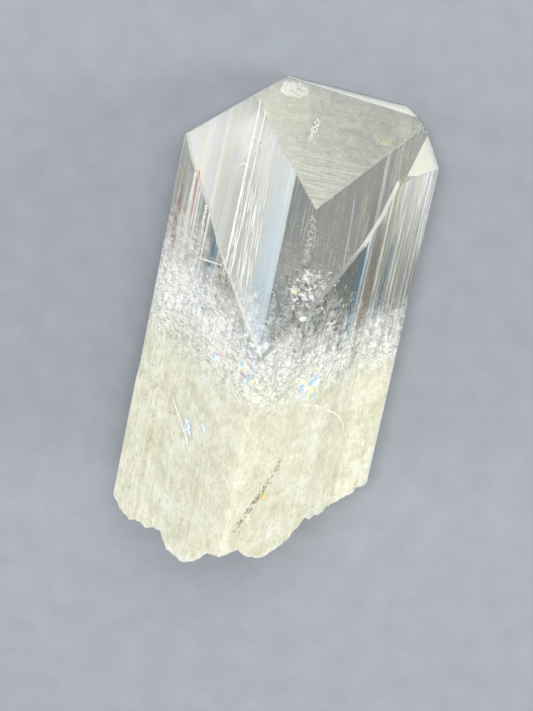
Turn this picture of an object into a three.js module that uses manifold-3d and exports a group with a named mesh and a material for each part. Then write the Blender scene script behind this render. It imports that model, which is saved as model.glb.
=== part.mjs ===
// A loose danburite crystal: a striated prism with a sloping, faceted tip and a broken foot.
//
// It is described standing up, in millimetres: x to the right, y into the crystal from its
// front edge, z up along its length, with z = 0 where the front edge meets the tip. At the
// end it is laid down on its flat back, the way it lies on a table, tip towards -Y.

import * as THREE from 'three';
import { mergeVertices } from 'three/addons/utils/BufferGeometryUtils.js';
import Module from 'manifold-3d';

const wasm = await Module();
wasm.setup();

// ---- Driving dimensions -------------------------------------------------------------------

// The prism's section: the corners between its faces, as [x, y], from the blunt front edge
// round both sides to the flat back.
const BACK = 6.2;
const FRONT_EDGE = [0, 0];
const RIGHT_FACES = [[0.34, 0.24], [1.3, 1.15], [2.67, 2.82], [3.13, 3.6], [3.43, 4.34], [4.67, 5.06]];
const BACK_RIGHT = [3.08, BACK];
const BACK_LEFT = [-1.07, BACK];
const LEFT_FACES = [[-4.25, 4.62], [-3.8, 4.0], [-2.94, 3.1], [-2.18, 2.12], [-0.69, 0.6]];

// Striations: small steps that run the whole length of the side faces.
const STRIA_PITCH = 0.16;
const STRIA_RELIEF = 0.045;
const STRIA_SLANT = 0.02;

// The tip: three facets round a low apex. Each climbs towards the back of the crystal, and
// the two lower ones also climb towards the apex from the sides.
const APEX = new THREE.Vector3(0.76, 3.27, 4.39);
const LOWER_CLIMB = 1.32;
const SIDE_CLIMB = 0.1;
const UPPER_CLIMB = 1.19;

// The bevel along the tip's top edge, narrow at the left and wider at the right.
const BEVEL_RIGHT = new THREE.Vector3(3.0, 5.86, 7.472);
const BEVEL_CLIMB = 0.5;
const BEVEL_SIDE_CLIMB = -0.044;

// The small smooth facet on the tip's right corner.
const CORNER_POINT = new THREE.Vector3(4.67, 5.06, 6.14);
const CORNER_NORMAL = new THREE.Vector3(0.55, -0.6, 0.58);

// A shallow shell-shaped chip beside the tip's top left corner.
const CHIP_AT = [-0.83, 5.87];
const CHIP_RADII = new THREE.Vector3(0.58, 0.34, 0.22);
const CHIP_LIFT = 0.11;

// Small pits on the tip: [x, y, width].
const PITS = [[-1.98, 3.95, 0.2], [-1.88, 4.6, 0.13], [-1.6, 4.52, 0.14], [0.05, 5.05, 0.16]];
const PIT_DEPTH = 0.07;

// Growth plates, low rounded steps on the tip: [x, y, width, height up the slope].
const HILLOCKS = [[0.2, 5.15, 2.1, 0.95], [2.6, 5.3, 1.8, 0.7], [2.9, 3.85, 0.66, 0.9]];
const HILLOCK_PROUD = 0.035;

// Ledges on the lower sides, layers of growth that start at some height and run down to the
// foot, as [start corner, end corner, top z, how proud].
const LEDGES = [
  [[-4.25, 4.62], [-3.3, 3.47], -3.5, 0.15],
  [[-4.25, 4.62], [-2.65, 5.39], -3.9, 0.1],
  [[-2.5, 2.52], [-1.3, 1.2], -5.1, 0.04],
  [[0.9, 0.77], [2.1, 2.11], -4.2, 0.05],
  [[3.5, 4.38], [4.3, 4.82], -4.6, 0.06],
  [[2.2, 2.24], [2.67, 2.8], -2.4, 0.05],
];
const LEDGE_LIP = 0.3;
const LEDGE_SLANT = 0.5;

// The broken foot: a fracture that climbs to the right, with rounded lobes hanging from it,
// each [x, y, half width, half depth, drop].
const FOOT_LEVEL = -8.05;
const FOOT_CLIMB_X = 0.22;
const FOOT_CLIMB_Y = 0.06;
const LOBES = [
  [-3.3, 3.2, 1.6, 2.3, 0.8],
  [-1.35, 1.7, 1.25, 2.2, 1.05],
  [1.4, 2.3, 1.35, 2.2, 0.95],
  [3.2, 4.2, 1.3, 1.6, 0.5],
  [-2.3, 5.0, 1.8, 1.4, 0.6],
  [0.5, 4.9, 1.6, 1.3, 0.7],
  [2.6, 5.6, 1.2, 0.9, 0.45],
];
const FOOT_RIPPLE = 0.07;
const FOOT_CELLS_X = 44;
const FOOT_CELLS_Y = 30;

const PRISM_TOP = 9;
const PRISM_BOTTOM = -11;
const TOOL_SIZE = 30;

// ---- Solids: joining and cutting ----------------------------------------------------------

function toSolid(geometry) {
  const bare = geometry.clone();
  bare.deleteAttribute('normal');
  bare.deleteAttribute('uv');
  const merged = mergeVertices(bare, 1e-5);
  return new wasm.Manifold(new wasm.Mesh({
    numProp: 3,
    vertProperties: new Float32Array(merged.attributes.position.array),
    triVerts: new Uint32Array(merged.index.array),
  }));
}

function toGeometry(solid) {
  const mesh = solid.getMesh();
  const geometry = new THREE.BufferGeometry();
  geometry.setAttribute('position', new THREE.BufferAttribute(mesh.vertProperties, 3));
  geometry.setIndex(new THREE.BufferAttribute(mesh.triVerts, 1));
  geometry.computeVertexNormals();
  return geometry;
}

// Turns a geometry so that its z axis points along a direction.
function aim(geometry, direction) {
  const zAxis = new THREE.Vector3(0, 0, 1);
  return geometry.applyQuaternion(new THREE.Quaternion().setFromUnitVectors(zAxis, direction));
}

// Cuts away everything on the side of a plane that its normal points to.
function trim(solid, point, normal) {
  const tool = new THREE.BoxGeometry(TOOL_SIZE, TOOL_SIZE, TOOL_SIZE);
  tool.translate(0, 0, TOOL_SIZE / 2);
  aim(tool, normal.clone().normalize());
  tool.translate(point.x, point.y, point.z);
  return solid.subtract(toSolid(tool));
}

function uprightExtrusion(shape, bottom, top) {
  const geometry = new THREE.ExtrudeGeometry(shape, { depth: top - bottom, bevelEnabled: false });
  return geometry.translate(0, 0, bottom);
}

// ---- The prism ----------------------------------------------------------------------------

// A repeatable series of numbers between 0 and 1.
function series(seed) {
  let state = seed;
  return () => {
    state = (state * 16807) % 2147483647;
    return state / 2147483647;
  };
}

// The stepped line of a striated face, between two corners of the section. The steps only
// cut into the face, so the corners keep their places.
function striatedFace(from, to, next) {
  const start = new THREE.Vector2(...from);
  const along = new THREE.Vector2(...to).sub(start);
  const length = along.length();
  along.normalize();
  const inward = new THREE.Vector2(-along.y, along.x);
  const points = [start];
  let depth = 0;
  for (let at = STRIA_PITCH; at < length - STRIA_PITCH; at += STRIA_PITCH * (0.5 + next())) {
    const place = start.clone().addScaledVector(along, at);
    const nextDepth = STRIA_RELIEF * next();
    points.push(place.clone().addScaledVector(inward, depth));
    points.push(place.addScaledVector(along, STRIA_SLANT).addScaledVector(inward, nextDepth));
    depth = nextDepth;
  }
  return points;
}

// The whole section. Its back stays flat, and every other face is striated.
function sectionShape() {
  const next = series(41);
  const corners = [FRONT_EDGE, ...RIGHT_FACES, BACK_RIGHT, BACK_LEFT, ...LEFT_FACES];
  const points = corners.flatMap((corner, index) => {
    const following = corners[(index + 1) % corners.length];
    return corner === BACK_RIGHT ? [new THREE.Vector2(...corner)] : striatedFace(corner, following, next);
  });
  return new THREE.Shape(points);
}

// A slab on a side face, with a slanting lip at its top.
function ledge([from, to, top, proud]) {
  const start = new THREE.Vector2(...from);
  const end = new THREE.Vector2(...to);
  const along = end.clone().sub(start).normalize();
  const across = new THREE.Vector2(-along.y, along.x);
  const middle = new THREE.Vector2(0, BACK / 2);
  const outward = across.multiplyScalar(Math.sign(across.dot(start.clone().sub(middle))));
  const rooted = -2 * proud - STRIA_RELIEF;
  const shape = new THREE.Shape([
    start.clone().addScaledVector(outward, rooted),
    start.clone().addScaledVector(along, proud).addScaledVector(outward, proud),
    end.clone().addScaledVector(along, -proud).addScaledVector(outward, proud),
    end.clone().addScaledVector(outward, rooted),
  ]);
  const slab = toSolid(uprightExtrusion(shape, PRISM_BOTTOM, top));
  const lip = new THREE.Vector3(start.x, start.y, top - LEDGE_LIP);
  return trim(slab, lip, new THREE.Vector3(outward.x, outward.y, LEDGE_SLANT));
}

// ---- The tip ------------------------------------------------------------------------------

// A facet that climbs by these amounts for each millimetre of x and y, by its upward normal.
function facetNormal(climbX, climbY) {
  return new THREE.Vector3(-climbX, -climbY, 1).normalize();
}

const LEFT_FACET = facetNormal(SIDE_CLIMB, LOWER_CLIMB);
const RIGHT_FACET = facetNormal(-SIDE_CLIMB, LOWER_CLIMB);
const UPPER_FACET = facetNormal(0, UPPER_CLIMB);

// The facet that forms the tip above a place in the section, and its height there.
function tipAt(x, y) {
  const edgeY = APEX.y + (SIDE_CLIMB * Math.abs(x - APEX.x)) / (LOWER_CLIMB - UPPER_CLIMB);
  const lowerFacet = x < APEX.x ? LEFT_FACET : RIGHT_FACET;
  const normal = y > edgeY ? UPPER_FACET : lowerFacet;
  const z = APEX.z - (normal.x * (x - APEX.x) + normal.y * (y - APEX.y)) / normal.z;
  return { normal, point: new THREE.Vector3(x, y, z) };
}

// Places a tool made round the origin on the tip, with its z axis out of the facet.
function placeOnTip(geometry, x, y) {
  const { normal, point } = tipAt(x, y);
  return aim(geometry, normal).translate(point.x, point.y, point.z);
}

// A low plate with two rounded corners, a step of growth on the tip.
function hillock([x, y, width, height]) {
  const corner = Math.min(width, height) * 0.35;
  const shape = new THREE.Shape();
  shape.moveTo(-width / 2, -height / 2);
  shape.lineTo(width / 2, -height / 2);
  shape.lineTo(width / 2, height / 2 - corner);
  shape.quadraticCurveTo(width / 2, height / 2, width / 2 - corner, height / 2);
  shape.lineTo(-width / 2 + corner, height / 2);
  shape.quadraticCurveTo(-width / 2, height / 2, -width / 2, height / 2 - corner);
  const depth = 5 * HILLOCK_PROUD;
  const plate = new THREE.ExtrudeGeometry(shape, { depth, bevelEnabled: false, curveSegments: 5 });
  plate.translate(0, 0, HILLOCK_PROUD - depth);
  return toSolid(placeOnTip(plate, x, y));
}

function pit([x, y, width]) {
  const cone = new THREE.ConeGeometry(width, 2 * PIT_DEPTH, 6);
  cone.rotateX(-Math.PI / 2);
  return toSolid(placeOnTip(cone, x, y));
}

function chip() {
  const scoop = new THREE.SphereGeometry(1, 16, 12);
  scoop.scale(CHIP_RADII.x, CHIP_RADII.y, CHIP_RADII.z);
  scoop.translate(0, 0, CHIP_LIFT);
  return toSolid(placeOnTip(scoop, ...CHIP_AT));
}

// ---- The foot -----------------------------------------------------------------------------

// The height of the fracture below a place in the section.
function footHeight(x, y) {
  let drop = 0;
  for (const [lobeX, lobeY, halfWidth, halfDepth, lobeDrop] of LOBES) {
    const away = ((x - lobeX) / halfWidth) ** 2 + ((y - lobeY) / halfDepth) ** 2;
    drop = Math.max(drop, lobeDrop * (1 - away));
  }
  const ripple = FOOT_RIPPLE * Math.sin(4.1 * x + 1.7 * y) * Math.cos(3.3 * y - 1.2 * x);
  return FOOT_LEVEL + FOOT_CLIMB_X * x + FOOT_CLIMB_Y * (y - BACK / 2) - drop + ripple;
}

// What was broken away: a block under the crystal whose top is the fracture.
function brokenAway() {
  const width = 11;
  const depth = 8;
  const block = new THREE.BoxGeometry(width, depth, 1, FOOT_CELLS_X, FOOT_CELLS_Y, 1);
  block.translate(0, BACK / 2, 0);
  const places = block.attributes.position;
  for (let index = 0; index < places.count; index += 1) {
    const isTop = places.getZ(index) > 0;
    const z = isTop ? footHeight(places.getX(index), places.getY(index)) : PRISM_BOTTOM - 1;
    places.setZ(index, z);
  }
  return toSolid(block);
}

// ---- The crystal --------------------------------------------------------------------------

function crystalSolid() {
  const prism = toSolid(uprightExtrusion(sectionShape(), PRISM_BOTTOM, PRISM_TOP));
  let crystal = LEDGES.reduce((solid, each) => solid.add(ledge(each)), prism);
  [LEFT_FACET, RIGHT_FACET, UPPER_FACET].forEach((facet) => { crystal = trim(crystal, APEX, facet); });
  HILLOCKS.forEach((each) => { crystal = crystal.add(hillock(each).intersect(prism)); });
  PITS.forEach((each) => { crystal = crystal.subtract(pit(each)); });
  crystal = trim(crystal, BEVEL_RIGHT, facetNormal(BEVEL_SIDE_CLIMB, BEVEL_CLIMB));
  crystal = trim(crystal, CORNER_POINT, CORNER_NORMAL);
  return crystal.subtract(chip()).subtract(brokenAway());
}

const danburite = new THREE.MeshStandardMaterial({ color: 0xdfe3d2, roughness: 0.15, metalness: 0 });
const crystal = new THREE.Mesh(toGeometry(crystalSolid()), danburite);
crystal.name = 'danburite_crystal';

// Laid on its flat back: the depth axis turns down, the tip points to -Y.
crystal.rotation.set(Math.PI / 2, Math.PI, 0, 'YXZ');

const model = new THREE.Group();
model.add(crystal);

// The origin is under the middle of the crystal.
model.updateMatrixWorld(true);
const box = new THREE.Box3().setFromObject(crystal, true);
const centre = box.getCenter(new THREE.Vector3());
crystal.position.set(-centre.x, -centre.y, -box.min.z);

export default model;
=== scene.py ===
import math

import bmesh
import bpy
from mathutils import Matrix, Vector


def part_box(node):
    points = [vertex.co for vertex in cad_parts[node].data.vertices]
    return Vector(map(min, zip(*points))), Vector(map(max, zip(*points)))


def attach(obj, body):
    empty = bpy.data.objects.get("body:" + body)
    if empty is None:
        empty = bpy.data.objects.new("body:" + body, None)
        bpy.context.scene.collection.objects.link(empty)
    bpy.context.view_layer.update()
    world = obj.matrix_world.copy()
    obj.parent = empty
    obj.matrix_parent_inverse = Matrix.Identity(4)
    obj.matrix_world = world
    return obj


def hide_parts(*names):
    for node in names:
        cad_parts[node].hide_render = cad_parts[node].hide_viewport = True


bl_info = {
    "name": "Danburite Crystal",
    "version": (1, 0, 0),
    "blender": (4, 5, 0),
    "location": "3D View > Sidebar > Danburite",
    "description": "Grows a striated danburite crystal, clear at its tip and milky at its foot",
    "category": "Add Mesh",
}

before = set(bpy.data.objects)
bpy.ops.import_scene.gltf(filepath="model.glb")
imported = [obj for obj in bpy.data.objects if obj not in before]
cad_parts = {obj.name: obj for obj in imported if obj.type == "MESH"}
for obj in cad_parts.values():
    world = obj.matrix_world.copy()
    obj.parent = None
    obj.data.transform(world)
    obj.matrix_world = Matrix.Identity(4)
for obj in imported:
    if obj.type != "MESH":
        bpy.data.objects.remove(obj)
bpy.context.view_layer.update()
NODE = "danburite_crystal"
BODY = "root"
MM = 0.001

# ---- The crystal's form ---------------------------------------------------------------------
#
# The crystal is described standing up, in millimetres: x to the right, y into it from its front
# edge, z up along its length, with z = 0 where the front edge meets the tip. A finished piece is
# then laid down on its flat back, where the frame has the crystal.

BACK = 6.2
FRONT_EDGE = (0.0, 0.0)
RIGHT_FACES = [(0.34, 0.24), (1.3, 1.15), (2.67, 2.82), (3.13, 3.6), (3.43, 4.34), (4.67, 5.06)]
BACK_RIGHT = (3.08, BACK)
BACK_LEFT = (-1.07, BACK)
LEFT_FACES = [(-4.25, 4.62), (-3.8, 4.0), (-2.94, 3.1), (-2.18, 2.12), (-0.69, 0.6)]
CORNERS = [FRONT_EDGE, *RIGHT_FACES, BACK_RIGHT, BACK_LEFT, *LEFT_FACES]

APEX = Vector((0.76, 3.27, 4.39))
LOWER_CLIMB = 1.32
SIDE_CLIMB = 0.1
UPPER_CLIMB = 1.19

BEVEL_RIGHT = Vector((3.0, 5.86, 7.472))
BEVEL_CLIMB = 0.5
BEVEL_SIDE_CLIMB = -0.044

CORNER_POINT = Vector((4.67, 5.06, 6.05))
CORNER_NORMAL = Vector((0.26, -0.8, 0.54))

CHIP_AT = (-0.83, 5.87)
CHIP_RADII = (0.58, 0.34, 0.22)
CHIP_LIFT = 0.11

# Pits: x, y, width. Growth plates: x, y, width, height up the slope.
PITS = [(-1.98, 3.95, 0.2), (-1.88, 4.6, 0.13), (-1.6, 4.52, 0.14), (0.05, 5.05, 0.16)]
PIT_DEPTH = 0.07
PLATES = [(0.2, 5.15, 2.1, 0.95), (2.2, 5.3, 1.3, 0.7), (2.9, 3.85, 0.66, 0.9)]
PLATE_PROUD = 0.035
PLATE_DEPTH = 6 * PLATE_PROUD

# Ledges of later growth on the lower sides: start corner, end corner, top z, how proud.
LEDGES = [
    ((-4.25, 4.62), (-3.3, 3.47), -3.5, 0.15),
    ((-4.25, 4.62), (-2.65, 5.39), -3.9, 0.1),
    ((-2.5, 2.52), (-1.3, 1.2), -5.1, 0.04),
    ((0.9, 0.77), (2.1, 2.11), -4.2, 0.05),
    ((3.5, 4.38), (4.3, 4.82), -4.6, 0.06),
    ((2.2, 2.24), (2.67, 2.8), -2.4, 0.05),
]
LEDGE_LIP = 0.3
LEDGE_SLANT = 0.5
LEDGE_REACH = 0.5

# The broken foot: a fracture that climbs to the right, with lobes hanging from it, each
# x, y, half width, half depth, drop.
FOOT_LEVEL = -8.05
FOOT_CLIMB_X = 0.22
FOOT_CLIMB_Y = 0.06
LOBES = [
    (-3.3, 3.2, 1.6, 2.3, 0.8),
    (-1.35, 1.7, 1.25, 2.2, 1.05),
    (1.4, 2.3, 1.35, 2.2, 0.95),
    (3.2, 4.2, 1.3, 1.6, 0.5),
    (-2.3, 5.0, 1.8, 1.4, 0.6),
    (0.5, 4.9, 1.6, 1.3, 0.7),
    (2.6, 5.6, 1.2, 0.9, 0.45),
]
FOOT_RIPPLE = 0.07
FOOT_RIPPLE_RATES = ((4.1, 1.7), (-1.2, 3.3))

PRISM_TOP = 9.0
PRISM_BOTTOM = -11.0
TOOL_SIZE = 30.0


def linear(hex_colour, alpha=1.0):
    """An sRGB hex colour as the linear colour that the shaders work in."""
    parts = [int(hex_colour[at:at + 2], 16) / 255 for at in (1, 3, 5)]
    return (*[p / 12.92 if p <= 0.04045 else ((p + 0.055) / 1.055) ** 2.4 for p in parts], alpha)


def facet_normal(climb_x, climb_y):
    """The upward normal of a facet that climbs by these amounts per millimetre of x and y."""
    return Vector((-climb_x, -climb_y, 1)).normalized()


LEFT_FACET = facet_normal(SIDE_CLIMB, LOWER_CLIMB)
RIGHT_FACET = facet_normal(-SIDE_CLIMB, LOWER_CLIMB)
UPPER_FACET = facet_normal(0, UPPER_CLIMB)
BEVEL_FACET = facet_normal(BEVEL_SIDE_CLIMB, BEVEL_CLIMB)


def height_on(normal, point, x, y):
    """The height of a plane above a place in the section."""
    return point.z - (normal.x * (x - point.x) + normal.y * (y - point.y)) / normal.z


def tip_at(x, y):
    """The facet that forms the tip above a place in the section, and the point there."""
    facets = (LEFT_FACET, RIGHT_FACET, UPPER_FACET)
    normal = min(facets, key=lambda facet: height_on(facet, APEX, x, y))
    return normal, Vector((x, y, height_on(normal, APEX, x, y)))


def part_from_crystal():
    """Lays the standing crystal down where the frame has it, and turns millimetres to metres."""
    low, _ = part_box(NODE)
    right_side = max(x for x, _ in CORNERS)
    tip_height = height_on(BEVEL_FACET, BEVEL_RIGHT, *BACK_LEFT)
    lie_down = Matrix((
        (-1, 0, 0, right_side), (0, 0, -1, tip_height), (0, -1, 0, BACK), (0, 0, 0, 1)))
    return Matrix.Translation(low) @ Matrix.Scale(MM, 4) @ lie_down


PART_FROM_CRYSTAL = part_from_crystal()

# ---- Helpers --------------------------------------------------------------------------------


def add_node(tree, kind, inputs=None, stops=None, **settings):
    """Adds a node with its settings, fills its inputs with values or links, sets a ramp's stops."""
    made = tree.nodes.new(kind)
    for name, value in settings.items():
        setattr(made, name, value)
    for name, value in (inputs or {}).items():
        if isinstance(value, bpy.types.Node):
            value = value.outputs[0]
        if isinstance(value, bpy.types.NodeSocket):
            tree.links.new(value, made.inputs[name])
        else:
            made.inputs[name].default_value = value
    for index, (position, colour) in enumerate(stops or []):
        elements = made.color_ramp.elements
        stop = elements[index] if index < 2 else elements.new(position)
        stop.position = position
        stop.color = colour
    return made


def new_object(name, mesh):
    made = bpy.data.objects.new(name, mesh)
    bpy.context.scene.collection.objects.link(made)
    return made


def evaluated_mesh(piece):
    """The piece's mesh with its modifiers done."""
    bpy.context.view_layer.update()
    depsgraph = bpy.context.evaluated_depsgraph_get()
    return bpy.data.meshes.new_from_object(piece.evaluated_get(depsgraph))


def mesh_from(bm, name):
    mesh = bpy.data.meshes.new(name)
    bm.to_mesh(mesh)
    bm.free()
    return mesh


def combine(piece, tool_mesh, operation):
    """Joins a closed tool to a piece, or cuts it away."""
    tool = new_object("tool", tool_mesh)
    cut = piece.modifiers.new("cut", "BOOLEAN")
    cut.solver = "MANIFOLD"
    cut.operation = operation
    cut.object = tool
    piece.data = evaluated_mesh(piece)
    piece.modifiers.clear()
    bpy.data.objects.remove(tool)
    if not piece.data.polygons:
        raise RuntimeError(f"nothing is left of {piece.name} after a cut")


def aim(point, normal):
    """The place of a tool made round the origin whose z axis turns to the normal."""
    return Matrix.Translation(point) @ normal.to_track_quat("Z", "Y").to_matrix().to_4x4()


def trim(piece, point, normal):
    """Cuts away everything on the side of a plane that its normal points to."""
    bm = bmesh.new()
    bmesh.ops.create_cube(bm, size=TOOL_SIZE)
    bmesh.ops.translate(bm, vec=(0, 0, TOOL_SIZE / 2), verts=bm.verts)
    bmesh.ops.transform(bm, matrix=aim(point, normal.normalized()), verts=bm.verts)
    combine(piece, mesh_from(bm, "trim"), "DIFFERENCE")


def close_at(bm, level):
    """Closes an open sheet with a skirt to a level and a flat side there."""
    rim = [edge for edge in bm.edges if edge.is_boundary]
    skirt = bmesh.ops.extrude_edge_only(bm, edges=rim)["geom"]
    for vert in (item for item in skirt if isinstance(item, bmesh.types.BMVert)):
        vert.co.z = level
    bmesh.ops.holes_fill(bm, edges=[edge for edge in bm.edges if edge.is_boundary])
    bmesh.ops.recalc_face_normals(bm, faces=bm.faces)


def run_tree(piece, tree, values):
    """Runs a geometry tree on a piece with these inputs, by name, and keeps the plain result."""
    modifier = piece.modifiers.new(tree.name, "NODES")
    modifier.node_group = tree
    for item in tree.interface.items_tree:
        if item.item_type == "SOCKET" and item.in_out == "INPUT" and item.name in values:
            modifier[item.identifier] = values[item.name]
    piece.data = evaluated_mesh(piece)
    piece.modifiers.clear()


def new_tree(name, sockets):
    """A geometry tree with a Geometry input and output and these named inputs."""
    tree = bpy.data.node_groups.new(name, "GeometryNodeTree")
    tree.interface.new_socket("Geometry", in_out="INPUT", socket_type="NodeSocketGeometry")
    for socket_name, kind in sockets.items():
        tree.interface.new_socket(socket_name, in_out="INPUT", socket_type=f"NodeSocket{kind}")
    tree.interface.new_socket("Geometry", in_out="OUTPUT", socket_type="NodeSocketGeometry")
    return tree, add_node(tree, "NodeGroupInput").outputs


def end_tree(tree, geometry, material):
    """Ends a tree with its instances made real and its material set."""
    real = add_node(tree, "GeometryNodeRealizeInstances", {"Geometry": geometry})
    dressed = add_node(tree, "GeometryNodeSetMaterial", {"Geometry": real, "Material": material})
    add_node(tree, "NodeGroupOutput", {"Geometry": dressed})


def finish_piece(piece, name):
    """Lays a piece down in the frame, with its place in its mesh, and lets it ride."""
    piece.name = name
    piece.data.name = name
    piece.data.transform(PART_FROM_CRYSTAL)
    piece.data.update()
    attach(piece, BODY)


# ---- The striated prism ---------------------------------------------------------------------

# How fine the mesh is round the prism and up it. The etched half has closer rings.
WALL_STEP = 0.026
CLEAR_RING = 0.5
MILKY_RING = 0.13
ETCHED_BELOW = -1.0
# The striations fade this close to a corner, and are shallower on the two walls at the back.
CORNER_EASE = 0.06
BACK_RELIEF = 0.7
BACK_LEFT_RELIEF = 0.55
STRIATION_LENGTH = 160.0
# The levels that the striations step between, and how much they step and not swell.
STRIATION_LEVELS = 0.12
STEPPED = 0.6
ETCH_GRAIN = 0.22
ETCH_STRETCH = (1, 1, 0.3)
ETCHED_STRIATIONS = 0.8


def section_points():
    """Points along the section: place, way inwards, run along the outline, and how striated."""
    points, run = [], 0.0
    wall_relief = {BACK_RIGHT: BACK_RELIEF, BACK_LEFT: BACK_LEFT_RELIEF}
    for index, corner in enumerate(CORNERS):
        start = Vector(corner)
        span = Vector(CORNERS[(index + 1) % len(CORNERS)]) - start
        along = span.normalized()
        inward = Vector((-along.y, along.x))
        relief = wall_relief.get(corner, 1.0)
        count = round(span.length / WALL_STEP)
        for step in range(count):
            at = span.length * step / count
            ease = min(1.0, min(at, span.length - at) / CORNER_EASE)
            points.append((start + along * at, inward, run + at, relief * ease))
        run += span.length
    return points


def ledge_rise(place, z):
    """How far the ledges stand proud of the section at a place and height."""
    rise = 0.0
    for start, end, top, proud in LEDGES:
        start, end = Vector(start), Vector(end)
        along = (end - start).normalized()
        outward = Vector((along.y, -along.x))
        outward *= math.copysign(1, outward.dot(start - Vector((0, BACK / 2))))
        offset = place - start
        on_chord = offset.dot(along)
        clearance = offset.dot(outward)
        if abs(clearance) > LEDGE_REACH:
            continue
        from_ends = min(on_chord, (end - start).length - on_chord)
        from_lip = LEDGE_SLANT * (top - LEDGE_LIP - z)
        rise = max(rise, min(proud - clearance, from_ends, from_lip))
    return rise


def ring_heights():
    heights, z = [], PRISM_BOTTOM
    while z < PRISM_TOP:
        heights.append(z)
        z += MILKY_RING if z < ETCHED_BELOW else CLEAR_RING
    return [*heights, PRISM_TOP]


def prism_mesh():
    """The prism with its ledges, still smooth, and what the striations need on each point."""
    points, heights = section_points(), ring_heights()
    vertices, runs, inwards, striated = [], [], [], []
    for z in heights:
        for place, inward, run, ease in points:
            placed = place - inward * ledge_rise(place, z)
            vertices.append((placed.x, placed.y, z))
            runs.append(run)
            inwards.extend((inward.x, inward.y, 0.0))
            striated.append(ease)
    count = len(points)
    faces = []
    for ring in range(len(heights) - 1):
        for at in range(count):
            left, right = ring * count + at, ring * count + (at + 1) % count
            faces.append((left, right, right + count, left + count))
    top = (len(heights) - 1) * count
    faces.append(tuple(range(top, top + count)))
    faces.append(tuple(reversed(range(count))))
    mesh = bpy.data.meshes.new("prism")
    mesh.from_pydata(vertices, [], faces)
    mesh.attributes.new("run", "FLOAT", "POINT").data.foreach_set("value", runs)
    mesh.attributes.new("striated", "FLOAT", "POINT").data.foreach_set("value", striated)
    mesh.attributes.new("inward", "FLOAT_VECTOR", "POINT").data.foreach_set("vector", inwards)
    return mesh


def striation_tree():
    """Cuts growth striations into a prism's walls, and etches the walls of its lower half."""
    tree, given = new_tree("Growth striations", {
        "Pitch": "Float", "Relief": "Float", "Terraces": "Float", "Length": "Float",
        "Etch Grain": "Float", "Etch Relief": "Float", "Etched Below": "Float",
        "Material": "Material",
    })
    attribute = "GeometryNodeInputNamedAttribute"
    run = add_node(tree, attribute, {"Name": "run"})
    striated = add_node(tree, attribute, {"Name": "striated"})
    inward = add_node(tree, attribute, {"Name": "inward"}, data_type="FLOAT_VECTOR")
    position = add_node(tree, "GeometryNodeInputPosition")
    height = add_node(tree, "ShaderNodeSeparateXYZ", {0: position}).outputs["Z"]
    along = add_node(tree, "ShaderNodeMath", {0: run, 1: given["Pitch"]}, operation="DIVIDE")
    up = add_node(tree, "ShaderNodeMath", {0: height, 1: given["Length"]}, operation="DIVIDE")
    place = add_node(tree, "ShaderNodeCombineXYZ", {"X": along, "Y": up})
    waves = add_node(tree, "ShaderNodeTexNoise", {
        "Vector": place, "Scale": 1.0, "Detail": 4.0, "Roughness": 0.62}, noise_dimensions="2D")
    terraces = add_node(tree, "ShaderNodeMath", {
        0: waves, 1: given["Terraces"]}, operation="SNAP")
    steps = add_node(tree, "ShaderNodeMix", {0: STEPPED, 2: waves, 3: terraces}).outputs[0]
    steps = add_node(tree, "ShaderNodeMath", {0: steps, 1: -0.5}, operation="ADD")
    depth = add_node(tree, "ShaderNodeMath", {0: steps, 1: given["Relief"]}, operation="MULTIPLY")
    below = add_node(tree, "ShaderNodeMath", {
        0: given["Etched Below"], 1: height}, operation="SUBTRACT", use_clamp=True)
    left_over = add_node(tree, "ShaderNodeMapRange", {
        "Value": below, "To Min": 1.0, "To Max": ETCHED_STRIATIONS})
    depth = add_node(tree, "ShaderNodeMath", {0: depth, 1: left_over}, operation="MULTIPLY")
    grain = add_node(tree, "ShaderNodeVectorMath", {
        0: position, 1: ETCH_STRETCH}, operation="MULTIPLY")
    grain = add_node(tree, "ShaderNodeVectorMath", {
        0: grain, 1: given["Etch Grain"]}, operation="DIVIDE")
    etch = add_node(tree, "ShaderNodeTexNoise", {"Vector": grain, "Scale": 1.0, "Detail": 3.0})
    etch = add_node(tree, "ShaderNodeMath", {0: etch, 1: -0.5}, operation="ADD")
    etch_depth = add_node(tree, "ShaderNodeMath", {
        0: etch, 1: given["Etch Relief"]}, operation="MULTIPLY")
    etch_depth = add_node(tree, "ShaderNodeMath", {0: etch_depth, 1: below}, operation="MULTIPLY")
    both = add_node(tree, "ShaderNodeMath", {0: depth, 1: etch_depth}, operation="ADD")
    eased = add_node(tree, "ShaderNodeMath", {0: both, 1: striated}, operation="MULTIPLY")
    offset = add_node(tree, "ShaderNodeVectorMath", {
        0: inward, "Scale": eased}, operation="SCALE")
    moved = add_node(tree, "GeometryNodeSetPosition", {
        "Geometry": given["Geometry"], "Offset": offset})
    end_tree(tree, moved, given["Material"])
    return tree


# ---- Tools that shape the tip and the foot --------------------------------------------------

# Widths of the worn edges, and how far their tool reaches past them.
FRONT_CHAMFER = 0.16
SIDE_CHAMFER = 0.1
FACET_CHAMFER = 0.03
CHAMFER_OVERRUN = 0.04
# The terraced part of the top facet: its length up the slope from the apex, its sides, and the
# cells of its mesh. Near the other facets the terraces keep within a share of the room.
TERRACED_LENGTH = 4.4
TERRACED_SIDES = (-2.3, 4.4)
TERRACE_CELL = (0.12, 0.024)
TERRACE_PITCH = 0.11
TERRACE_FADE = 2.4
TERRACE_SHARE = 0.35
# How many bends the terraces have to a millimetre across, and the levels they step between.
TERRACE_BENDS = 0.9
TERRACE_LEVELS = 0.1
FROST_GRAIN = 0.2
# How round a growth plate's upper corners are, and how thick it is below the facet.
PLATE_ROUNDING = 0.35
PLATE_SINK = 0.05
CORNER_STEPS = 6
CHIP_RIPPLE = 0.05
CHIP_RIPPLE_RATE = 16
CHIP_STRUCK_AT = (0.6, 0.5)
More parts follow.
